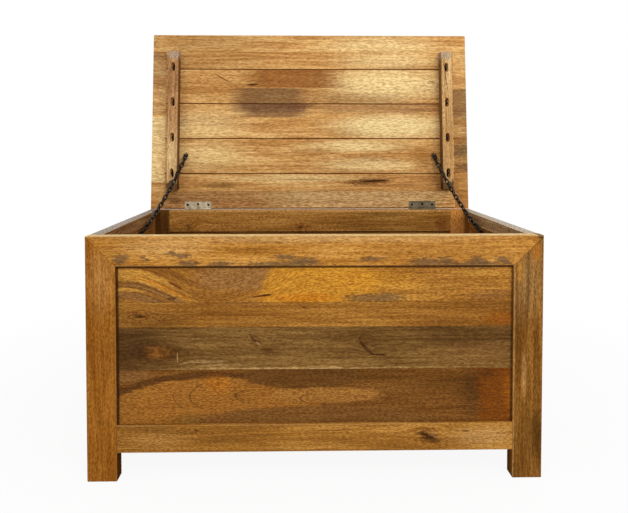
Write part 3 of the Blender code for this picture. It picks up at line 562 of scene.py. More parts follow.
def wood(
    name, grain, tones, seed, marks=(), on_lid=False, wear=0.3, rings=0.22, streak=0.4, fleck=FINE_FLECK,
    contrast=1.2, shine=VARNISH_SHINE,
):
    """Dresses one board, whose grain names the axes that lie along, across and through it."""
    finish = Finish(name + "_wood")
    where = grain_coordinates(finish, grain, on_lid)
    sway = finish.cloud(where, SWAY_SIZE, seed)
    swayed = finish.moved(where, 0.0, (sway - 0.5) * SWAY)
    bent = swayed
    for mark in marks:
        if type(mark) in BENDING:
            bent = BENDING[type(mark)](finish, where, bent, mark)
    broad = finish.spread(finish.cloud(bent, CLOUD_SIZE, seed + 1), *TONE_SPAN)
    streaks = finish.spread(finish.cloud(bent, STREAK_SIZE, seed + 2, 3.0), *TONE_SPAN)
    contour = finish.cloud(bent, RING_SIZE, seed + 3, 1.0)
    ring = contour.sum("FRACT", contour * RING_COUNT) ** RING_SHARPNESS
    flecks = finish.spread(finish.cloud(bent, fleck, seed + 4, 1.0), *FLECK_SPAN)
    fibres = finish.spread(finish.cloud(bent, FIBRE_SIZE, seed + 5, 2.0), *FIBRE_SPAN)
    pores = finish.spread(finish.cloud(bent, PORE_SIZE, seed + 6, 0.0), *PORE_SPAN)

    tone = 0.5 + (broad - 0.5) * CLOUD_SHARE + (streaks - 0.5) * streak
    stops = [(0.0, tones.dark), (0.5, tones.middle), (1.0, tones.light)]
    colour = finish.node("ShaderNodeValToRGB", {"stops": stops}, {0: tone})
    fringe = (finish.cloud(where, FRINGE_SIZE, seed + 7, 3.0) - 0.5) * FRINGE
    ragged_across = (finish.cloud(where, RAG_SIZE, seed + 8) - 0.5) * RAG
    grounds = {
        "exact": where,
        "frayed": finish.moved(where, fringe, 0.0),
        "ragged": finish.moved(where, fringe, ragged_across),
        "swayed": swayed,
        "grain": bent,
    }
    for mark in marks:
        if type(mark) in LAYING:
            lay, ground = LAYING[type(mark)]
            colour = lay(finish, grounds[ground], colour, mark)

    figure = flecks * FLECK_SHARE + fibres * FIBRE_SHARE + streaks * STREAK_SHARE
    shade = (0.5 + (figure - 0.5) * contrast) * (1 - ring * rings * RING_FORCE)
    colour = finish.mix(1.0, colour, finish.mix(shade, DEEP, FAIR), "MULTIPLY")
    colour = finish.mix(pores * PORE_DARKNESS, colour, BARK)
    distance = finish.arris_distance(where, board_box(solids[name], grain, on_lid))
    worn = finish.spread(distance + (streaks - 0.5) * WEAR_FRAY, 0, WEAR_WIDTH, wear, 0)
    colour = finish.mix(worn, colour, CREAM)

    inputs = {
        "Base Color": colour,
        "Roughness": VARNISH_ROUGHNESS + fibres * FIBRE_ROUGHNESS + pores * PORE_ROUGHNESS,
        "Specular IOR Level": shine,
    }
    height = fibres * FIBRE_RISE + flecks * FLECK_RISE + streaks * STREAK_RISE - pores
    dress(name, finish.surface(inputs, height, WOOD_BUMP))


print("wood: broad clouds, streaks, year rings, marks, flecks, fibres, pores, wear")

# %% [markdown]
# ## The front frame
# Two legs and two rails, mitred at the top, frame the front. The top rail is the palest timber of the
# body, with grey stains along its lower edge, where hands and dust have been, and a painted highlight
# along its upper edge and top face, for the white they mirror at a glancing view. The legs stand upright,
# so their grain does too, and their inner side faces get painted shade.

# %% Front rails and legs
BODY_TOP = (0.4845, 0.49)
TAN = timber((152, 98, 32), (186, 126, 50), (212, 154, 74))
TOP_RAIL_STAINS = (
    (-0.381, 0.44, 0.02, 0.013),
    (-0.335, 0.441, 0.01, 0.008),
    (-0.262, 0.447, 0.026, 0.007),
    (-0.28, 0.451, 0.02, 0.005),
    (-0.25, 0.43, 0.032, 0.008),
    (-0.188, 0.43, 0.034, 0.008),
    (-0.064, 0.443, 0.03, 0.007),
    (-0.07, 0.429, 0.1, 0.008),
    (-0.023, 0.436, 0.034, 0.01),
    (0.111, 0.44, 0.03, 0.006),
    (0.215, 0.433, 0.046, 0.011),
    (0.255, 0.437, 0.018, 0.01),
    (0.32, 0.437, 0.022, 0.012),
    (0.31, 0.429, 0.1, 0.008),
    (0.368, 0.437, 0.016, 0.01),
)
TOP_RAIL_MARKS = (
    Blot(CREAM, -0.3, 0.462, 0.14, 0.026, 0.35, 0.9),
    Blot(COPPER, 0.24, 0.455, 0.22, 0.04, 0.5, 0.9),
    # painted highlight along the top of the face
    Blot(CREAM, 0.0, 0.48, 0.52, 0.014, 0.45, 0.9),
    *(Stain(SLATE, *stain) for stain in TOP_RAIL_STAINS),
    # painted highlight on the top face, pale with the white it mirrors
    Block(STRAW, *BODY_TOP, 0.7),
    Line(BARK, 0.445, 0.483, 0.009, 0.006, 0.9),
)
wood("front_top_rail", "XZY", TAN, 11, TOP_RAIL_MARKS, rings=0.12)
BOTTOM_RAIL_TONES = timber((134, 88, 32), (162, 109, 42), (192, 138, 64))
BOTTOM_RAIL_MARKS = (
    Blot(CREAM, -0.312, 0.082, 0.09, 0.026, 0.1, 0.7),
    Blot(CREAM, 0.33, 0.085, 0.09, 0.03, 0.3, 0.9),
    Knot(0.222, 0.086, 0.034, 0.024, 0, 3, 0.7),
    Blot(UMBER, 0.218, 0.088, 0.02, 0.012, 0.8, turn=60),
    Blot(UMBER, 0.23, 0.078, 0.02, 0.008, 0.7, turn=-20),
    Blot(paint(140, 104, 66), 0.234, 0.087, 0.009, 0.01, 0.75, turn=20),
    Blot(UMBER, 0.028, 0.1, 0.08, 0.0024, 0.35),
    Blot(UMBER, 0.3, 0.096, 0.006, 0.002, 0.8, 0.6),
    Blot(UMBER, -0.24, 0.1, 0.005, 0.002, 0.8, 0.6),
)
wood("front_bottom_rail", "XZY", BOTTOM_RAIL_TONES, 12, BOTTOM_RAIL_MARKS, rings=0.15, contrast=1.5)
LEFT_LEG_TONES = timber((122, 72, 18), (147, 90, 28), (172, 112, 44))
LEFT_LEG_MARKS = (
    Blot(CREAM, 0.4, -0.42, 0.1, 0.036, 0.14, 0.9),
    Blot(RUST, 0.25, -0.42, 0.07, 0.04, 0.2, 0.9),
    # painted shade on the leg's inner side face, which looks into the recess
    Block(UMBER, -0.3918, -0.39, 0.8),
)
wood("front_left_leg", "ZXY", LEFT_LEG_TONES, 13, LEFT_LEG_MARKS, rings=0.08, streak=0.35, **DULL)
RIGHT_LEG_TONES = timber((98, 60, 20), (132, 86, 34), (166, 114, 48))
RIGHT_LEG_MARKS = (
    Blot(CREAM, 0.4, 0.42, 0.12, 0.05, 0.2, 0.9),
    Blot(AMBER, 0.452, 0.436, 0.03, 0.014, 0.4),
    Blot(HONEY, 0.414, 0.402, 0.03, 0.008, 0.5, 0.7),
    Streak(UMBER, 0.4, 0.418, 0.1, 0.006, 0.3),
    Streak(CREAM, 0.208, 0.413, 0.07, 0.007, 0.25),
    Streak(UMBER, 0.23, 0.436, 0.14, 0.008, 0.4),
    Blot(UMBER, 0.06, 0.42, 0.13, 0.05, 0.4, 0.9),
    Blot(UMBER, 0.09, 0.438, 0.07, 0.018, 0.6),
    Line(BARK, 0.483, 0.445, 0.006, 0.009, 0.9),
    Block(CREAM, 0.391, 0.394, 0.3),
    # painted shade on the leg's inner side face, which looks into the recess
    Block(UMBER, 0.39, 0.3908, 0.8),
)
wood("front_right_leg", "ZXY", RIGHT_LEG_TONES, 14, RIGHT_LEG_MARKS, rings=0.12, contrast=1.4, **DULL)
print("front frame: two rails, two legs")

# %% [markdown]
# ## The front boards
# Four boards fill the frame, each from another log. From the top: a restless one with a honey sweep, a
# smoky middle and a bright golden heart; a narrow golden one with a ringed knot; a grey-brown one with
# three knots; and a wide dark one with an orange tongue and nested arches. In the top board the grain
# dips deeply, and the sweep is made of plain streaks that the dip carries down with it.

# %% Front boards
# Painted shade: a dark line at both ends of each front board, in the recess against the legs.
CORNER_SHADE = (Line(UMBER, -0.3905, 0.26, 0.0046, 0.4), Line(UMBER, 0.3905, 0.26, 0.0036, 0.4, 0.6))
BOARD_4_TONES = timber((132, 84, 30), (166, 110, 42), (194, 138, 58))
BOARD_4_MARKS = (
    Bend(-0.19, 0.18, 0.062),
    Streak(SMOKE, -0.3, 0.389, 0.15, 0.012, 0.8),
    Streak(SMOKE, -0.32, 0.366, 0.16, 0.014, 0.9),
    Streak(SWEEP, -0.345, 0.415, 0.13, 0.01, 0.9),
    Streak(SWEEP, -0.33, 0.402, 0.13, 0.009, 0.7),
    Streak(AMBER, -0.3, 0.404, 0.08, 0.006, 0.5),
    Streak(SWEEP, -0.372, 0.378, 0.05, 0.005, 0.6),
    Streak(UMBER, -0.32, 0.3925, 0.11, 0.0016, 0.5),
    Streak(UMBER, -0.33, 0.384, 0.11, 0.0016, 0.5),
    Streak(UMBER, -0.29, 0.374, 0.12, 0.0016, 0.45),
    Streak(UMBER, -0.32, 0.409, 0.1, 0.0012, 0.4),
    Blot(paint(156, 110, 60), -0.16, 0.402, 0.106, 0.034, 0.8, 0.5),
    Blot(HONEY, 0.008, 0.372, 0.122, 0.09, 0.85, 0.14),
    Blot(HONEY, 0.12, 0.398, 0.12, 0.04, 0.6, 0.9),
    Blot(AMBER, -0.025, 0.361, 0.1, 0.014, 0.7),
    Line(RUST, -0.276, 0.387, 0.022, 0.0032, 0.95, turn=-30),
    Line(RUST, -0.106, 0.366, 0.028, 0.003, 0.95, turn=8),
    Line(UMBER, -0.098, 0.367, 0.012, 0.0022, 0.9, turn=8),
    Blot(UMBER, -0.286, 0.361, 0.01, 0.006, 0.7, turn=-15),
    Stain(SLATE, 0.116, 0.361, 0.08, 0.014, 0.75, turn=2),
    Blot(SMOKE, 0.307, 0.421, 0.08, 0.007, 0.5, turn=-1),
    Blot(SMOKE, 0.345, 0.366, 0.06, 0.014, 0.5, 0.7, turn=5),
    # painted shadow of the top rail along the top edge of the board
    Block(UMBER, 0.4206, 0.43, 0.85),
    *CORNER_SHADE,
)
wood("front_board_4", "XZY", BOARD_4_TONES, 21, BOARD_4_MARKS, wear=0.0, rings=0.34, contrast=1.8)
BOARD_3_TONES = timber((118, 74, 24), (150, 98, 36), (178, 124, 52))
BOARD_3_MARKS = (
    Blot(UMBER, -0.33, 0.316, 0.13, 0.04, 0.3, 0.9),
    Knot(-0.347, 0.326, 0.034, 0.015, -3, 4, 0.8),
    Arch(BARK, -0.347, 0.326, 0.02, 0.0066, 0.2, 0.7),
    Arch(BARK, -0.345, 0.325, 0.034, 0.011, 0.2, 0.4),
    Arch(BARK, -0.284, 0.319, 0.015, 0.0085, 0.2, 0.5),
    Arch(BARK, -0.274, 0.319, 0.034, 0.013, 0.1, 0.4),
    Blot(paint(146, 80, 18), 0.372, 0.319, 0.05, 0.02, 0.75, 0.7),
    Blot(UMBER, -0.02, 0.343, 0.01, 0.0026, 0.9, 0.6),
    Blot(SMOKE, -0.15, 0.349, 0.08, 0.006, 0.35),
    *CORNER_SHADE,
)
wood("front_board_3", "XZY", BOARD_3_TONES, 22, BOARD_3_MARKS, wear=0.0, contrast=1.5)
BOARD_2_TONES = timber((88, 58, 22), (120, 85, 40), (150, 112, 58))
BOARD_2_MARKS = (
    Blot(UMBER, -0.365, 0.265, 0.11, 0.06, 0.68, 0.7),
    Knot(-0.309, 0.254, 0.04, 0.021, 0, 3, 0.5),
    Blot(COPPER, -0.312, 0.254, 0.034, 0.017, 0.5),
    Blot(BARK, -0.304, 0.255, 0.013, 0.007, 0.8),
    Streak(CREAM, -0.222, 0.236, 0.06, 0.005, 0.3),
    Streak(CREAM, -0.19, 0.229, 0.07, 0.004, 0.25),
    Line(CREAM, -0.273, 0.245, 0.0013, 0.014, 0.45),
    Knot(-0.12, 0.276, 0.016, 0.012, -48, 2, 0.6),
    Line(UMBER, -0.127, 0.283, 0.01, 0.003, 0.7, turn=-66),
    Line(UMBER, -0.119, 0.276, 0.011, 0.0028, 0.7, turn=-38),
    Blot(BARK, -0.096, 0.257, 0.018, 0.008, 0.85, 0.7, turn=-5),
    Line(CREAM, -0.114, 0.271, 0.007, 0.003, 0.35, turn=-40),
    Knot(0.096, 0.27, 0.018, 0.013, -40, 2, 0.5),
    Line(UMBER, 0.091, 0.271, 0.016, 0.0046, 0.6, turn=-62),
    Line(UMBER, 0.102, 0.258, 0.018, 0.0044, 0.7, turn=-42),
    Line(UMBER, 0.124, 0.2475, 0.024, 0.0026, 0.9, turn=-3),
    Blot(SMOKE, 0.328, 0.25, 0.12, 0.036, 0.35),
    Blot(UMBER, 0.3, 0.285, 0.14, 0.026, 0.3, 0.9),
    Blot(CREAM, -0.031, 0.2205, 0.379, 0.0036, 0.45),
    *CORNER_SHADE,
)
wood("front_board_2", "XZY", BOARD_2_TONES, 23, BOARD_2_MARKS, wear=0.0, rings=0.32, contrast=1.5)
BOARD_1_TONES = timber((92, 56, 16), (114, 71, 24), (138, 90, 38))
BOARD_1_MARKS = (
    Blot(SMOKE, -0.375, 0.208, 0.075, 0.016, 0.6, 0.6),
    Blot(BARK, -0.2, 0.146, 0.225, 0.07, 0.85, 0.05),
    Blot(TONGUE, -0.195, 0.139, 0.215, 0.066, 0.95, 0.05),
    Blot(AMBER, -0.195, 0.19, 0.04, 0.026, 0.35, 0.7),
    Blot(OLIVE, -0.245, 0.118, 0.06, 0.016, 0.6, 0.7),
    Blot(paint(122, 81, 36), 0.005, 0.112, 0.275, 0.037, 0.9, 0.2),
    Blot(paint(104, 66, 26), -0.025, 0.205, 0.13, 0.027, 0.9, 0.15),
    Blot(paint(165, 113, 50), 0.02, 0.167, 0.13, 0.018, 0.9, 0.3),
    Blot(SMOKE, 0.16, 0.17, 0.13, 0.06, 0.1, 0.9),
    Blot(UMBER, 0.32, 0.17, 0.06, 0.07, 0.5, 0.9, turn=-12),
    Patch(paint(124, 66, 12), 0.316, 0.42, 0.1, 0.23, 0.85, 0.022),
    Blot(AMBER, 0.392, 0.172, 0.026, 0.06, 0.25),
    Blot(UMBER, 0.345, 0.208, 0.026, 0.014, 0.5),
    Arch(BARK, -0.17, 0.166, 0.112, 0.04, 0.05, 0.6),
    Arch(BARK, -0.151, 0.166, 0.098, 0.036, 0.05, 0.75),
    Arch(BARK, -0.051, 0.166, 0.108, 0.02, 0.05, 0.8),
    Arch(BARK, -0.045, 0.166, 0.108, 0.016, 0.05, 0.5),
    Arch(BARK, 0.069, 0.161, 0.1, 0.016, 0.05, 0.8),
    *CORNER_SHADE,
)
wood("front_board_1", "XZY", BOARD_1_TONES, 24, BOARD_1_MARKS, wear=0.0, streak=0.3, contrast=1.9)
print("front boards: 4")

# %% [markdown]
# ## The inside of the lid
# The lid is the brightest timber: planks of pale gold between two rails, closed at the sides by strips
# glued up from short blocks. The V-grooves between the planks get painted shade, the right half a painted
# highlight for the glare that falls there, and the hinge edge painted shade. The lid leans back on its
# chains, so its grain coordinates are turned about the hinge: then across means away from the hinge, and a
# mark stays put when the lid moves.

# %% Lid planks and rails
# Painted shade in the V-grooves between the lid planks.
GROOVE_SHADE_COLOUR = paint(92, 46, 20)
SEAM_PLACES = (0.1, 0.2, 0.3, 0.4)
GROOVE_SHADE_HALF = 0.0016
GROOVE_SHADE_STRENGTH = 0.85
LONG_FLECK = (0.013, 0.0025, 0.0025)
LID_SEED = 31
GOLD = timber((176, 118, 60), (218, 161, 92), (248, 202, 130))
LID_CONTRAST = 1.15
REAR_RAIL_CONTRAST = 1.6
# The straw blots on the right half of the lid, along 0.13 to 0.23, are a painted highlight, the glare
# there.
LID_MARKS = {
    "lid_plank_5": (
        Blot(SMOKE, -0.3, 0.425, 0.3, 0.05, 0.35, 0.9),
        Blot(STRAW, 0.22, 0.425, 0.22, 0.04, 0.6, 0.9),
    ),
    "lid_front_rail": (
        Blot(SMOKE, -0.32, 0.475, 0.36, 0.06, 0.46, 0.9),
        Blot(STRAW, 0.2, 0.47, 0.24, 0.05, 0.6, 0.9),
    ),
    "lid_plank_4": (
        Blot(COPPER, -0.25, 0.35, 0.2, 0.08, 0.35, 0.9),
        Blot(STRAW, 0.22, 0.356, 0.26, 0.07, 0.85),
        Patch(paint(152, 92, 38), -0.24, 0.13, 0.346, 0.41, 0.85, 0.11),
        Patch(GREY, -0.25, 0.02, 0.29, 0.346, 0.8, 0.07),
        Patch(paint(170, 132, 84), -0.06, 0.33, 0.29, 0.336, 0.5, 0.12, 0.016),
        Line(RUST, -0.252, 0.374, 0.034, 0.0026, 0.8, turn=-30),
        Line(UMBER, -0.165, 0.355, 0.022, 0.0034, 0.95, turn=4),
        Knot(0.349, 0.365, 0.014, 0.011),
    ),
    "lid_plank_3": (
        Blot(STRAW, -0.32, 0.24, 0.2, 0.07, 0.5, 0.9),
        Blot(STRAW, 0.23, 0.235, 0.24, 0.05, 0.95, 0.7),
        Patch(PLUM, -0.26, 0.05, 0.286, 0.31, 0.6, 0.07, 0.006),
        Patch(PLUM, -0.242, 0.02, 0.272, 0.31, 0.6, 0.06, 0.007),
        Patch(PLUM, -0.224, 0.01, 0.258, 0.296, 0.7, 0.06, 0.007),
        Patch(paint(164, 124, 84), -0.04, 0.42, 0.268, 0.31, 0.5, 0.12, 0.012),
    ),
    "lid_plank_2": (
        Blot(STRAW, -0.3, 0.15, 0.18, 0.07, 0.45, 0.9),
        Blot(STRAW, 0.13, 0.178, 0.22, 0.026, 0.7),
        Blot(STRAW, 0.16, 0.125, 0.2, 0.03, 0.6),
        Blot(COPPER, 0.325, 0.14, 0.06, 0.044, 0.6),
        Blot(COPPER, 0.0, 0.162, 0.11, 0.016, 0.4),
    ),
    "lid_plank_1": (
        Blot(STRAW, -0.04, 0.086, 0.3, 0.016, 0.55, 0.9),
        Stain(paint(120, 72, 30), 0.16, 0.076, 0.09, 0.012, 0.8, turn=2),
        Line(UMBER, 0.182, 0.079, 0.05, 0.004, 0.9, turn=3),
        Line(RUST, -0.02, 0.083, 0.1, 0.0016, 0.6),
        Blot(OLIVE, -0.254, 0.066, 0.08, 0.014, 0.6, 0.7),
    ),
    "lid_rear_rail": (
        Blot(paint(176, 130, 80), -0.24, 0.029, 0.3, 0.06, 0.7, 0.4),
        Blot(paint(212, 176, 120), 0.14, 0.029, 0.33, 0.06, 0.7, 0.5),
        Blot(RUST, -0.32, 0.02, 0.12, 0.014, 0.3),
        Blot(UMBER, -0.381, 0.026, 0.03, 0.012, 0.5, 0.7),
        # painted shade in the gap along the hinge edge
        Block(UMBER, 0.0006, 0.004, 0.85),
    ),
    "lid_left_end": (
        Block(paint(126, 106, 84), 0.375, 0.45, 0.4),
        Block(paint(166, 132, 96), 0.268, 0.375, 0.35),
        Block(STRAW, 0.075, 0.262, 0.75),
        Block(COPPER, -0.002, 0.075, 0.3),
    ),
    "lid_right_end": (
        Block(CREAM, 0.343, 0.45, 0.4),
        Block(paint(118, 94, 66), 0.257, 0.343, 0.62),
        Block(SMOKE, 0.1, 0.257, 0.6),
        Stain(SLATE, 0.43, 0.165, 0.04, 0.024, 0.7),
        Stain(SLATE, 0.44, 0.118, 0.034, 0.014, 0.6),
        Stain(CREAM, 0.425, 0.222, 0.04, 0.02, 0.6),
        Block(COPPER, -0.002, 0.1, 0.5),
    ),
}
groove_shades = [
    Block(GROOVE_SHADE_COLOUR, place - GROOVE_SHADE_HALF, place + GROOVE_SHADE_HALF, GROOVE_SHADE_STRENGTH) for place in SEAM_PLACES
]
for number, (name, marks) in enumerate(LID_MARKS.items()):
    on_planks = groove_shades if name.startswith("lid_plank") else []
    laid = [*marks, *on_planks]
    contrast = REAR_RAIL_CONTRAST if name == "lid_rear_rail" else LID_CONTRAST
    looks = {"wear": 0.0, "rings": 0.2, "fleck": LONG_FLECK, "contrast": contrast}
    wood(name, "XZY", GOLD, LID_SEED + number, laid, on_lid=True, **looks)
print("lid boards:", len(LID_MARKS))

# %% Lid battens
BATTEN_SEED = 51
BATTEN_TONES = {
    "lid_left_batten": timber((160, 110, 66), (192, 142, 92), (216, 172, 118)),
    "lid_right_batten": timber((180, 134, 80), (216, 172, 112), (240, 202, 144)),
}
# The bark blocks are painted shade: on each batten's inner side face, and a thin line along the left
# batten's outer edge.
BATTEN_MARKS = {
    "lid_left_batten": (
        Blot(RUST, 0.359, -0.386, 0.05, 0.03, 0.35),
        Blot(STRAW, 0.14, -0.386, 0.11, 0.04, 0.5, 0.9),
        Block(BARK, -0.4012, -0.399, 0.6),
        Block(BARK, -0.372, -0.37, 0.85),
    ),
    "lid_right_batten": (
        Blot(COPPER, 0.17, 0.386, 0.13, 0.04, 0.4, 0.9),
        Blot(UMBER, 0.372, 0.3833, 0.06, 0.0022, 0.9, 0.5, turn=-6.5),
        Block(BARK, 0.37, 0.372, 0.85),
    ),
}
# Painted light and shade on the batten ends: a pale highlight on the upward top bevel, dark shade on the
# downward bottom bevel.
BATTEN_END_LIGHT_AND_SHADE = (
    Patch(paint(176, 156, 134), 0.4235, 0.46, -0.42, 0.42, 0.75, 0.002),
    Patch(UMBER, 0.04, 0.076, -0.42, 0.42, 0.78, 0.003),
)
for number, (name, tones) in enumerate(BATTEN_TONES.items()):
    marks = [*BATTEN_MARKS[name], *BATTEN_END_LIGHT_AND_SHADE]
    wood(name, "ZXY", tones, BATTEN_SEED + number, marks, on_lid=True, wear=0.1, rings=0.1)
print("battens:", ", ".join(BATTEN_TONES))

# %% [markdown]
# ## The rest of the body
# Sides, back and floor are the same timber without the show: browner outside, and left drier inside. They
# share their tones, but each board has its own seed, so no two are cut alike. The top faces of the rails
# and the top ends of the stiles get a painted highlight, ash grey on the left and paler on the right, for
# the white they mirror at a glancing view, and the back rail a painted highlight along its top edge.

# %% Sides, back and floor
PLAIN_SEED = 61
BROWN = timber((112, 70, 28), (148, 98, 44), (180, 128, 62))
DRY = timber((116, 80, 44), (150, 110, 68), (184, 144, 96))
# Paler and greyer tones, for the right rim strip.
GREYER = timber((142, 110, 76), (178, 144, 102), (208, 176, 132))
BRIGHT = timber((146, 96, 40), (182, 126, 58), (208, 152, 78))
RIM_SHEEN = {"left": ASH, "right": PEARL}
SHEEN_STRENGTH = 0.75
BACK_RAIL_MARKS = (
    Blot(COPPER, -0.33, 0.44, 0.08, 0.04, 0.4),
    Knot(-0.335, 0.437, 0.04, 0.03, 0, 4, 0.5),
    Knot(-0.026, 0.437, 0.024, 0.016, 0, 3, 0.8),
    Blot(UMBER, 0.2, 0.44, 0.22, 0.05, 0.25),
    Blot(UMBER, 0.19, 0.472, 0.12, 0.014, 0.35),
    Blot(RUST, 0.365, 0.445, 0.03, 0.04, 0.5),
    # painted highlight along the top edge of the back rail
    Block(CREAM, 0.4795, 0.4848, 0.45),
)
# The umber blot at the top of the back left leg is painted shade; the orange blot at the top of the back
# right leg is painted light.
PLAIN_BOARDS = {
    "back_left_leg": ("ZXY", BROWN, (Blot(UMBER, 0.43, -0.4, 0.12, 0.08, 0.66, 0.5),)),
    "back_right_leg": ("ZXY", BRIGHT, (Blot(paint(250, 170, 86), 0.43, 0.4, 0.12, 0.08, 0.6, 0.5),)),
    "back_top_rail": ("XZY", BRIGHT, BACK_RAIL_MARKS),
    "back_bottom_rail": ("XZY", BROWN, ()),
    "back_panel": ("XZY", BROWN, ()),
    "floor_panel": ("XYZ", DRY, ()),
    "floor_front_bearer": ("XZY", DRY, ()),
    "floor_back_bearer": ("XZY", DRY, ()),
    "floor_left_bearer": ("YZX", DRY, ()),
    "floor_right_bearer": ("YZX", DRY, ()),
}
for side, sheen_colour in RIM_SHEEN.items():
    # Painted highlight on the top faces of the rails and the top ends of the stiles.
    top_sheen = Block(sheen_colour, *BODY_TOP, SHEEN_STRENGTH)
    end_sheen = Line(sheen_colour, BODY_TOP[1], 0, 0.01, THROUGH_AND_THROUGH, SHEEN_STRENGTH)
    PLAIN_BOARDS[f"{side}_front_stile"] = ("ZYX", BROWN, (end_sheen,))
    PLAIN_BOARDS[f"{side}_rear_stile"] = ("ZYX", BROWN, (end_sheen,))
    PLAIN_BOARDS[f"{side}_top_rail"] = ("YZX", BROWN, (top_sheen,))
    PLAIN_BOARDS[f"{side}_bottom_rail"] = ("YZX", BROWN, ())
    PLAIN_BOARDS[f"{side}_panel"] = ("YZX", BROWN, ())
    PLAIN_BOARDS[f"{side}_rim_strip"] = ("YZX", DRY if side == "left" else GREYER, (top_sheen,))
for number, (name, (grain, tones, marks)) in enumerate(PLAIN_BOARDS.items()):
    wood(name, grain, tones, PLAIN_SEED + number, marks, contrast=1.5, **DULL)
print("plain boards:", len(PLAIN_BOARDS))

# %% [markdown]
# ## Metalwork
# The hinges are zinc-plated steel, a lit copy of the zinc on the left and a shaded copy on the right, so
# light and shade are painted into them; the chains and screws are blackened bronze. All are full metals
# whose roughness wanders, because plated metal is never evenly bright.

# %% Metal finishes
SCRATCH_DEPTH = 0.00005
SCRATCH_FINENESS = 20
SCRATCH_ROUGHNESS = 0.1
PATCH_ROUGHNESS = 0.12
ZINC_GRAIN = 0.012
BRONZE_GRAIN = 0.006


def metal(name, dark, bright, grain_size, seed, roughness):
    """A full metal that wanders between two tones in patches of grain_size."""
    finish = Finish(name)
    where = finish.object_place()
    patches = finish.spread(finish.cloud(where, (grain_size,) * 3, seed, 4.0), *TONE_SPAN)
    fine = grain_size / SCRATCH_FINENESS
    scratches = finish.cloud(where, (grain_size, fine, fine), seed + 1, 3.0)
    inputs = {
        "Base Color": finish.mix(patches, dark, bright),
        "Metallic": 1.0,
        "Roughness": roughness + patches * PATCH_ROUGHNESS + scratches * SCRATCH_ROUGHNESS,
    }
    return finish.surface(inputs, scratches, SCRATCH_DEPTH)


bronze = metal("dark_bronze", paint(22, 19, 17), paint(80, 72, 62), BRONZE_GRAIN, 2, 0.26)
# Painted light and shade: one zinc in a lighter copy for the left hinge and a darker copy for the right.
ZINC = {
    "left": metal("lit_zinc", paint(150, 132, 104), paint(206, 192, 164), ZINC_GRAIN, 1, 0.34),
    "right": metal("shaded_zinc", paint(88, 78, 60), paint(126, 114, 92), ZINC_GRAIN, 3, 0.42),
}
for side, zinc in ZINC.items():
    for piece in ("hinge_chest_leaf", "hinge_lid_leaf", "hinge_pin"):
        dress(f"{side}_{piece}", zinc)
    for piece in ("chain_wall_screw", "chain_lid_screw"):
        dress(f"{side}_{piece}", bronze)
print("metal finishes: dark bronze and", len(ZINC), "shades of zinc")

# %% [markdown]
# ## Screws
# A screw is the same wherever it goes, so it is described once, in a node tree: a flattened ball for the
# head, with two crossed slots cut out. The tree sets one on every point that it is given and turns it to
# face outwards. Copying and turning meshes by hand would do too, but here one size changes every screw.

# %% A node tree that sets screws on points
SCREW_SIZES = ("Head Radius", "Head Height", "Slot Length", "Slot Width")
HEAD_SEGMENTS = 24
HEAD_RINGS = 12


class PieceTree(Tree):
    """A node tree with a geometry input, a size input for each name, a material input and an output."""

    def __init__(self, name, sizes):
        self.group = bpy.data.node_groups.new(name, "GeometryNodeTree")
        sockets = [("Points", "Geometry"), *((size, "Float") for size in sizes), ("Finish", "Material")]
        for label, kind in sockets:
            self.group.interface.new_socket(label, in_out="INPUT", socket_type="NodeSocket" + kind)
        self.group.interface.new_socket("Pieces", in_out="OUTPUT", socket_type="NodeSocketGeometry")
        super().__init__(self.group)

    def given(self, name):
        return self.node("NodeGroupInput", {}, {}, out=name)

    def close(self, points, instance, turn):
        """Sets a turned copy on each point, with real faces, smooth shading and a finish."""
        inputs = {"Points": points, "Instance": instance, "Rotation": turn}
        copies = self.node("GeometryNodeInstanceOnPoints", {}, inputs)
        real = self.node("GeometryNodeRealizeInstances", {}, {"Geometry": copies})
        smooth = self.node("GeometryNodeSetShadeSmooth", {}, {"Geometry": real})
        finish = {"Geometry": smooth, "Material": self.given("Finish")}
        self.node("NodeGroupOutput", {}, {0: self.node("GeometryNodeSetMaterial", {}, finish)})
        return self.group


def screw_tree():
    tree = PieceTree("screws", SCREW_SIZES)
    unit_ball = {"Segments": HEAD_SEGMENTS, "Rings": HEAD_RINGS, "Radius": 1.0}
    ball = tree.node("GeometryNodeMeshUVSphere", {}, unit_ball)
    radius = tree.given("Head Radius")
    shape = tree.node("ShaderNodeCombineXYZ", {}, {0: radius, 1: radius, 2: tree.given("Head Height")})
    head = tree.node("GeometryNodeTransform", {}, {"Geometry": ball, "Scale": shape})
    height = tree.given("Head Height")
    slots = []
    for long_axis in (0, 1):
        sizes = {long_axis: tree.given("Slot Length"), 1 - long_axis: tree.given("Slot Width"), 2: height}
        size = tree.node("ShaderNodeCombineXYZ", {}, sizes)
        bar = tree.node("GeometryNodeMeshCube", {}, {"Size": size})
        lift = tree.node("ShaderNodeCombineXYZ", {}, {2: height})
        slots.append(tree.node("GeometryNodeTransform", {}, {"Geometry": bar, "Translation": lift}))
    for slot in slots:
        settings = {"operation": "DIFFERENCE", "solver": "EXACT"}
        head = tree.node("GeometryNodeMeshBoolean", settings, {0: head, 1: slot})
    facing = tree.node("GeometryNodeInputNamedAttribute", {"data_type": "FLOAT_VECTOR"}, {"Name": "facing"})
    twist = tree.node("GeometryNodeInputNamedAttribute", {"data_type": "FLOAT"}, {"Name": "twist"})
    turn = tree.node("FunctionNodeAlignRotationToVector", {"axis": "Z"}, {"Vector": facing})
    spin = tree.node("FunctionNodeAxisAngleToRotation", {}, {"Axis": (0, 0, 1), "Angle": twist})
    turn = tree.node("FunctionNodeRotateRotation", {"rotation_space": "LOCAL"}, {0: turn, 1: spin})
    return tree.close(tree.given("Points"), head, turn)


SCREWS = screw_tree()
print("screw tree:", len(SCREWS.nodes), "nodes")

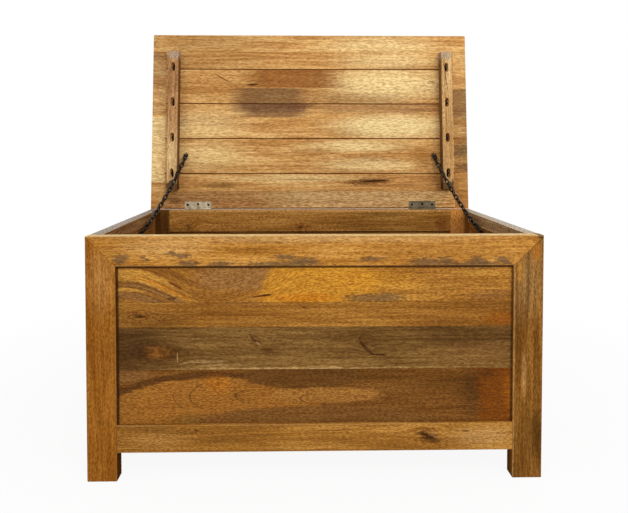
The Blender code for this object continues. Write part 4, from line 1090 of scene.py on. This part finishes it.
# %% [markdown]
# ## Growing a piece
# The tree needs something to grow on: a mesh that holds only points, and for a chain the edges between
# them. The modifier's sizes go in by the sockets' own identifiers, the evaluated result becomes a plain
# mesh, and the mesh of points is thrown away, so the piece that stays has no modifier left on it.

# %% Grow pieces from points
def grow(name, tree, points, edges, values, attributes=()):
    """Runs a tree on points and keeps what it makes as a plain mesh."""
    seed_mesh = bpy.data.meshes.new(name + "_seed")
    seed_mesh.from_pydata(points, edges, [])
    for label, kind, field, numbers in attributes:
        layer = seed_mesh.attributes.new(label, kind, "POINT")
        for item, number in zip(layer.data, numbers):
            setattr(item, field, number)
    seed = new_object(name + "_seed", seed_mesh)
    modifier = seed.modifiers.new("grow", "NODES")
    modifier.node_group = tree
    for socket in tree.interface.items_tree:
        if socket.name in values:
            modifier[socket.identifier] = values[socket.name]
    evaluated = seed.evaluated_get(bpy.context.evaluated_depsgraph_get())
    piece = new_object(name, bpy.data.meshes.new_from_object(evaluated))
    bpy.data.objects.remove(seed)
    print(name, "has", len(piece.data.polygons), "faces")
    return piece


# %% Where the screws go
SIDES = (("left", -1), ("right", 1))
BATTEN_SEAT = 0.018
LEAF_HOLES = ((-0.029, 0.0115), (0.0, 0.0135), (0.029, 0.0115))
LEAF_SINK = 0.0012
RIM_HOLE_PITCH = 0.1085
RIM_HOLE_DROP = 0.0095
RIM_HOLE_DEPTH = 0.004
Screw = namedtuple("Screw", "place facing")
LID_FACING = LID_TURN @ Vector((0, -1, 0))


def on_lid(x, from_hinge, out):
    """A point that lies out in front of the inside of the leaning lid."""
    return HINGE_POINT + LID_TURN @ Vector((x, -out, from_hinge))


def middle_x(name):
    low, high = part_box(name)
    return (low.x + high.x) / 2


batten_screws = []
lid_leaf_screws = []
chest_leaf_screws = []
rim_screws = []
for side_name, side in SIDES:
    batten_x = middle_x(f"lid_{side_name}_batten")
    for from_hinge in SEAM_PLACES:
        batten_screws.append(Screw(on_lid(batten_x, from_hinge, BATTEN_SEAT), LID_FACING))
    hinge_x = middle_x(f"{side_name}_hinge_lid_leaf")
    for along, from_hinge in LEAF_HOLES:
        lid_leaf_screws.append(Screw(on_lid(hinge_x + along, from_hinge, -LEAF_SINK), LID_FACING))
        chest_place = HINGE_POINT + Vector((hinge_x + along, -from_hinge, -LEAF_SINK))
        chest_leaf_screws.append(Screw(chest_place, Vector((0, 0, 1))))
    low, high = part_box(f"{side_name}_rim_strip")
    inner_x = high.x if side < 0 else low.x
    for step in (-1, 0, 1):
        y = (low.y + high.y) / 2 + step * RIM_HOLE_PITCH
        place = Vector((inner_x + side * RIM_HOLE_DEPTH, y, high.z - RIM_HOLE_DROP))
        rim_screws.append(Screw(place, Vector((-side, 0, 0))))
print(len(batten_screws + lid_leaf_screws + chest_leaf_screws + rim_screws), "screws")

# %% Set the screws
TWIST_STEP = 0.7
LEAF_SCREW = (0.0026, 0.0008, 0.0032, 0.0008)
SMALL_SCREW = (0.0033, 0.0011, 0.004, 0.0009)
LARGE_SCREW = (0.0046, 0.0024, 0.0056, 0.0012)


def set_screws(name, body, screws, size):
    values = dict(zip(SCREW_SIZES, size), Finish=bronze)
    facings = [screw.facing for screw in screws]
    twists = [TWIST_STEP * number for number in range(len(screws))]
    attributes = (("facing", "FLOAT_VECTOR", "vector", facings), ("twist", "FLOAT", "value", twists))
    piece = grow(name, SCREWS, [screw.place for screw in screws], [], values, attributes)
    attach(piece, body)


set_screws("batten_screws", "lid", batten_screws, LARGE_SCREW)
set_screws("lid_leaf_screws", "lid", lid_leaf_screws, LEAF_SCREW)
set_screws("chest_leaf_screws", "chest", chest_leaf_screws, LEAF_SCREW)
set_screws("rim_screws", "chest", rim_screws, SMALL_SCREW)

# %% [markdown]
# ## The stay chains
# A fine chain runs from a screw in each side to a screw in the lid and stops it just past upright. Each
# link is a wire oval, and every second one is turned a quarter. The path is worked out as the slack chain
# hangs, one point at the middle of each link, and a node tree sets the links along it.

# %% A node tree that sets links along a path
CORNER_POINTS = 5
CORNER_SHARE = 0.49
WIRE_SIDES = 10


def chain_tree():
    tree = PieceTree("chain_links", ("Link Length", "Link Width", "Wire Radius"))
    wire = tree.given("Wire Radius")
    oval = tree.node(
        "GeometryNodeCurvePrimitiveQuadrilateral",
        {"mode": "RECTANGLE"},
        {0: tree.given("Link Length") - wire * 2, 1: tree.given("Link Width") - wire * 2},
    )
    corner = (tree.given("Link Width") - wire * 2) * CORNER_SHARE
    rounding = {"Curve": oval, "Count": CORNER_POINTS, "Radius": corner}
    oval = tree.node("GeometryNodeFilletCurve", {"mode": "POLY"}, rounding)
    round_bar = {"Resolution": WIRE_SIDES, "Radius": wire}
    section = tree.node("GeometryNodeCurvePrimitiveCircle", {"mode": "RADIUS"}, round_bar)
    link = tree.node("GeometryNodeCurveToMesh", {}, {"Curve": oval, "Profile Curve": section})
    path = tree.node("GeometryNodeMeshToCurve", {}, {"Mesh": tree.given("Points")})
    tangent = tree.node("GeometryNodeInputTangent", {}, {})
    number = tree.node("GeometryNodeInputIndex", {}, {})
    quarter = number.sum("FLOORED_MODULO", number, 2.0) * (math.pi / 2)
    turn = tree.node("FunctionNodeAlignRotationToVector", {"axis": "X"}, {"Vector": tangent})
    settings = {"axis": "Z", "pivot_axis": "X"}
    turn = tree.node("FunctionNodeAlignRotationToVector", settings, {"Rotation": turn, "Vector": (1, 0, 0)})
    spin = tree.node("FunctionNodeAxisAngleToRotation", {}, {"Axis": (1, 0, 0), "Angle": quarter})
    turn = tree.node("FunctionNodeRotateRotation", {"rotation_space": "LOCAL"}, {0: turn, 1: spin})
    return tree.close(path, link, turn)


LINKS = chain_tree()
print("chain tree:", len(LINKS.nodes), "nodes")

# %% Hang the chains
LINK_PITCH = 0.0142
LINK_WIDTH = 0.013
LINK_WIRE = 0.0021
LINK_BITE = 0.0008
WALL_STANDOFF = 0.0084
LID_STANDOFF = 0.0045
SCREW_PLACE_ON_LID = 0.152
END_HOLD = 0.0024
CHAIN_SLACK = 0.005


def end_link(seat, outward, toward):
    """Both ends of the link that a screw holds, flat against the wood."""
    flat = (toward - seat) - outward * (toward - seat).dot(outward)
    flat.normalize()
    return seat - flat * END_HOLD, seat + flat * (LINK_PITCH - END_HOLD)


def hang_chain(side_name, side):
    """Hangs one chain in a shallow arc that is longer than its span by the slack."""
    low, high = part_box(f"{side_name}_chain_wall_screw")
    rail_low, rail_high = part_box(f"{side_name}_top_rail")
    wall_x = (rail_high.x if side < 0 else rail_low.x) - side * WALL_STANDOFF
    wall = Vector((wall_x, (low.y + high.y) / 2, (low.z + high.z) / 2))
    lid = on_lid(middle_x(f"{side_name}_chain_lid_screw"), SCREW_PLACE_ON_LID, LID_STANDOFF)
    wall_start, wall_end = end_link(wall, Vector((-side, 0, 0)), lid)
    lid_start, lid_end = end_link(lid, LID_FACING, wall)
    span = (lid_end - wall_end).length
    sag = span * math.sqrt(3 / 8 * CHAIN_SLACK)
    count = 2 * max(1, round(span / LINK_PITCH / 2))
    joints = [wall_start]
    for step in range(count + 1):
        share = step / count
        drop = Vector((0, 0, 4 * sag * share * (1 - share)))
        joints.append(wall_end.lerp(lid_end, share) - drop)
    joints.append(lid_start)
    middles = [(start + end) / 2 for start, end in zip(joints, joints[1:])]
    edges = [(number, number + 1) for number in range(len(middles) - 1)]
    values = {
        "Link Length": LINK_PITCH + 4 * LINK_WIRE - LINK_BITE,
        "Link Width": LINK_WIDTH,
        "Wire Radius": LINK_WIRE,
        "Finish": bronze,
    }
    chain = grow(f"{side_name}_chain_links", LINKS, middles, edges, values)
    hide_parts(f"{side_name}_chain")
    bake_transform(chain)


for side_name, side in SIDES:
    hang_chain(side_name, side)
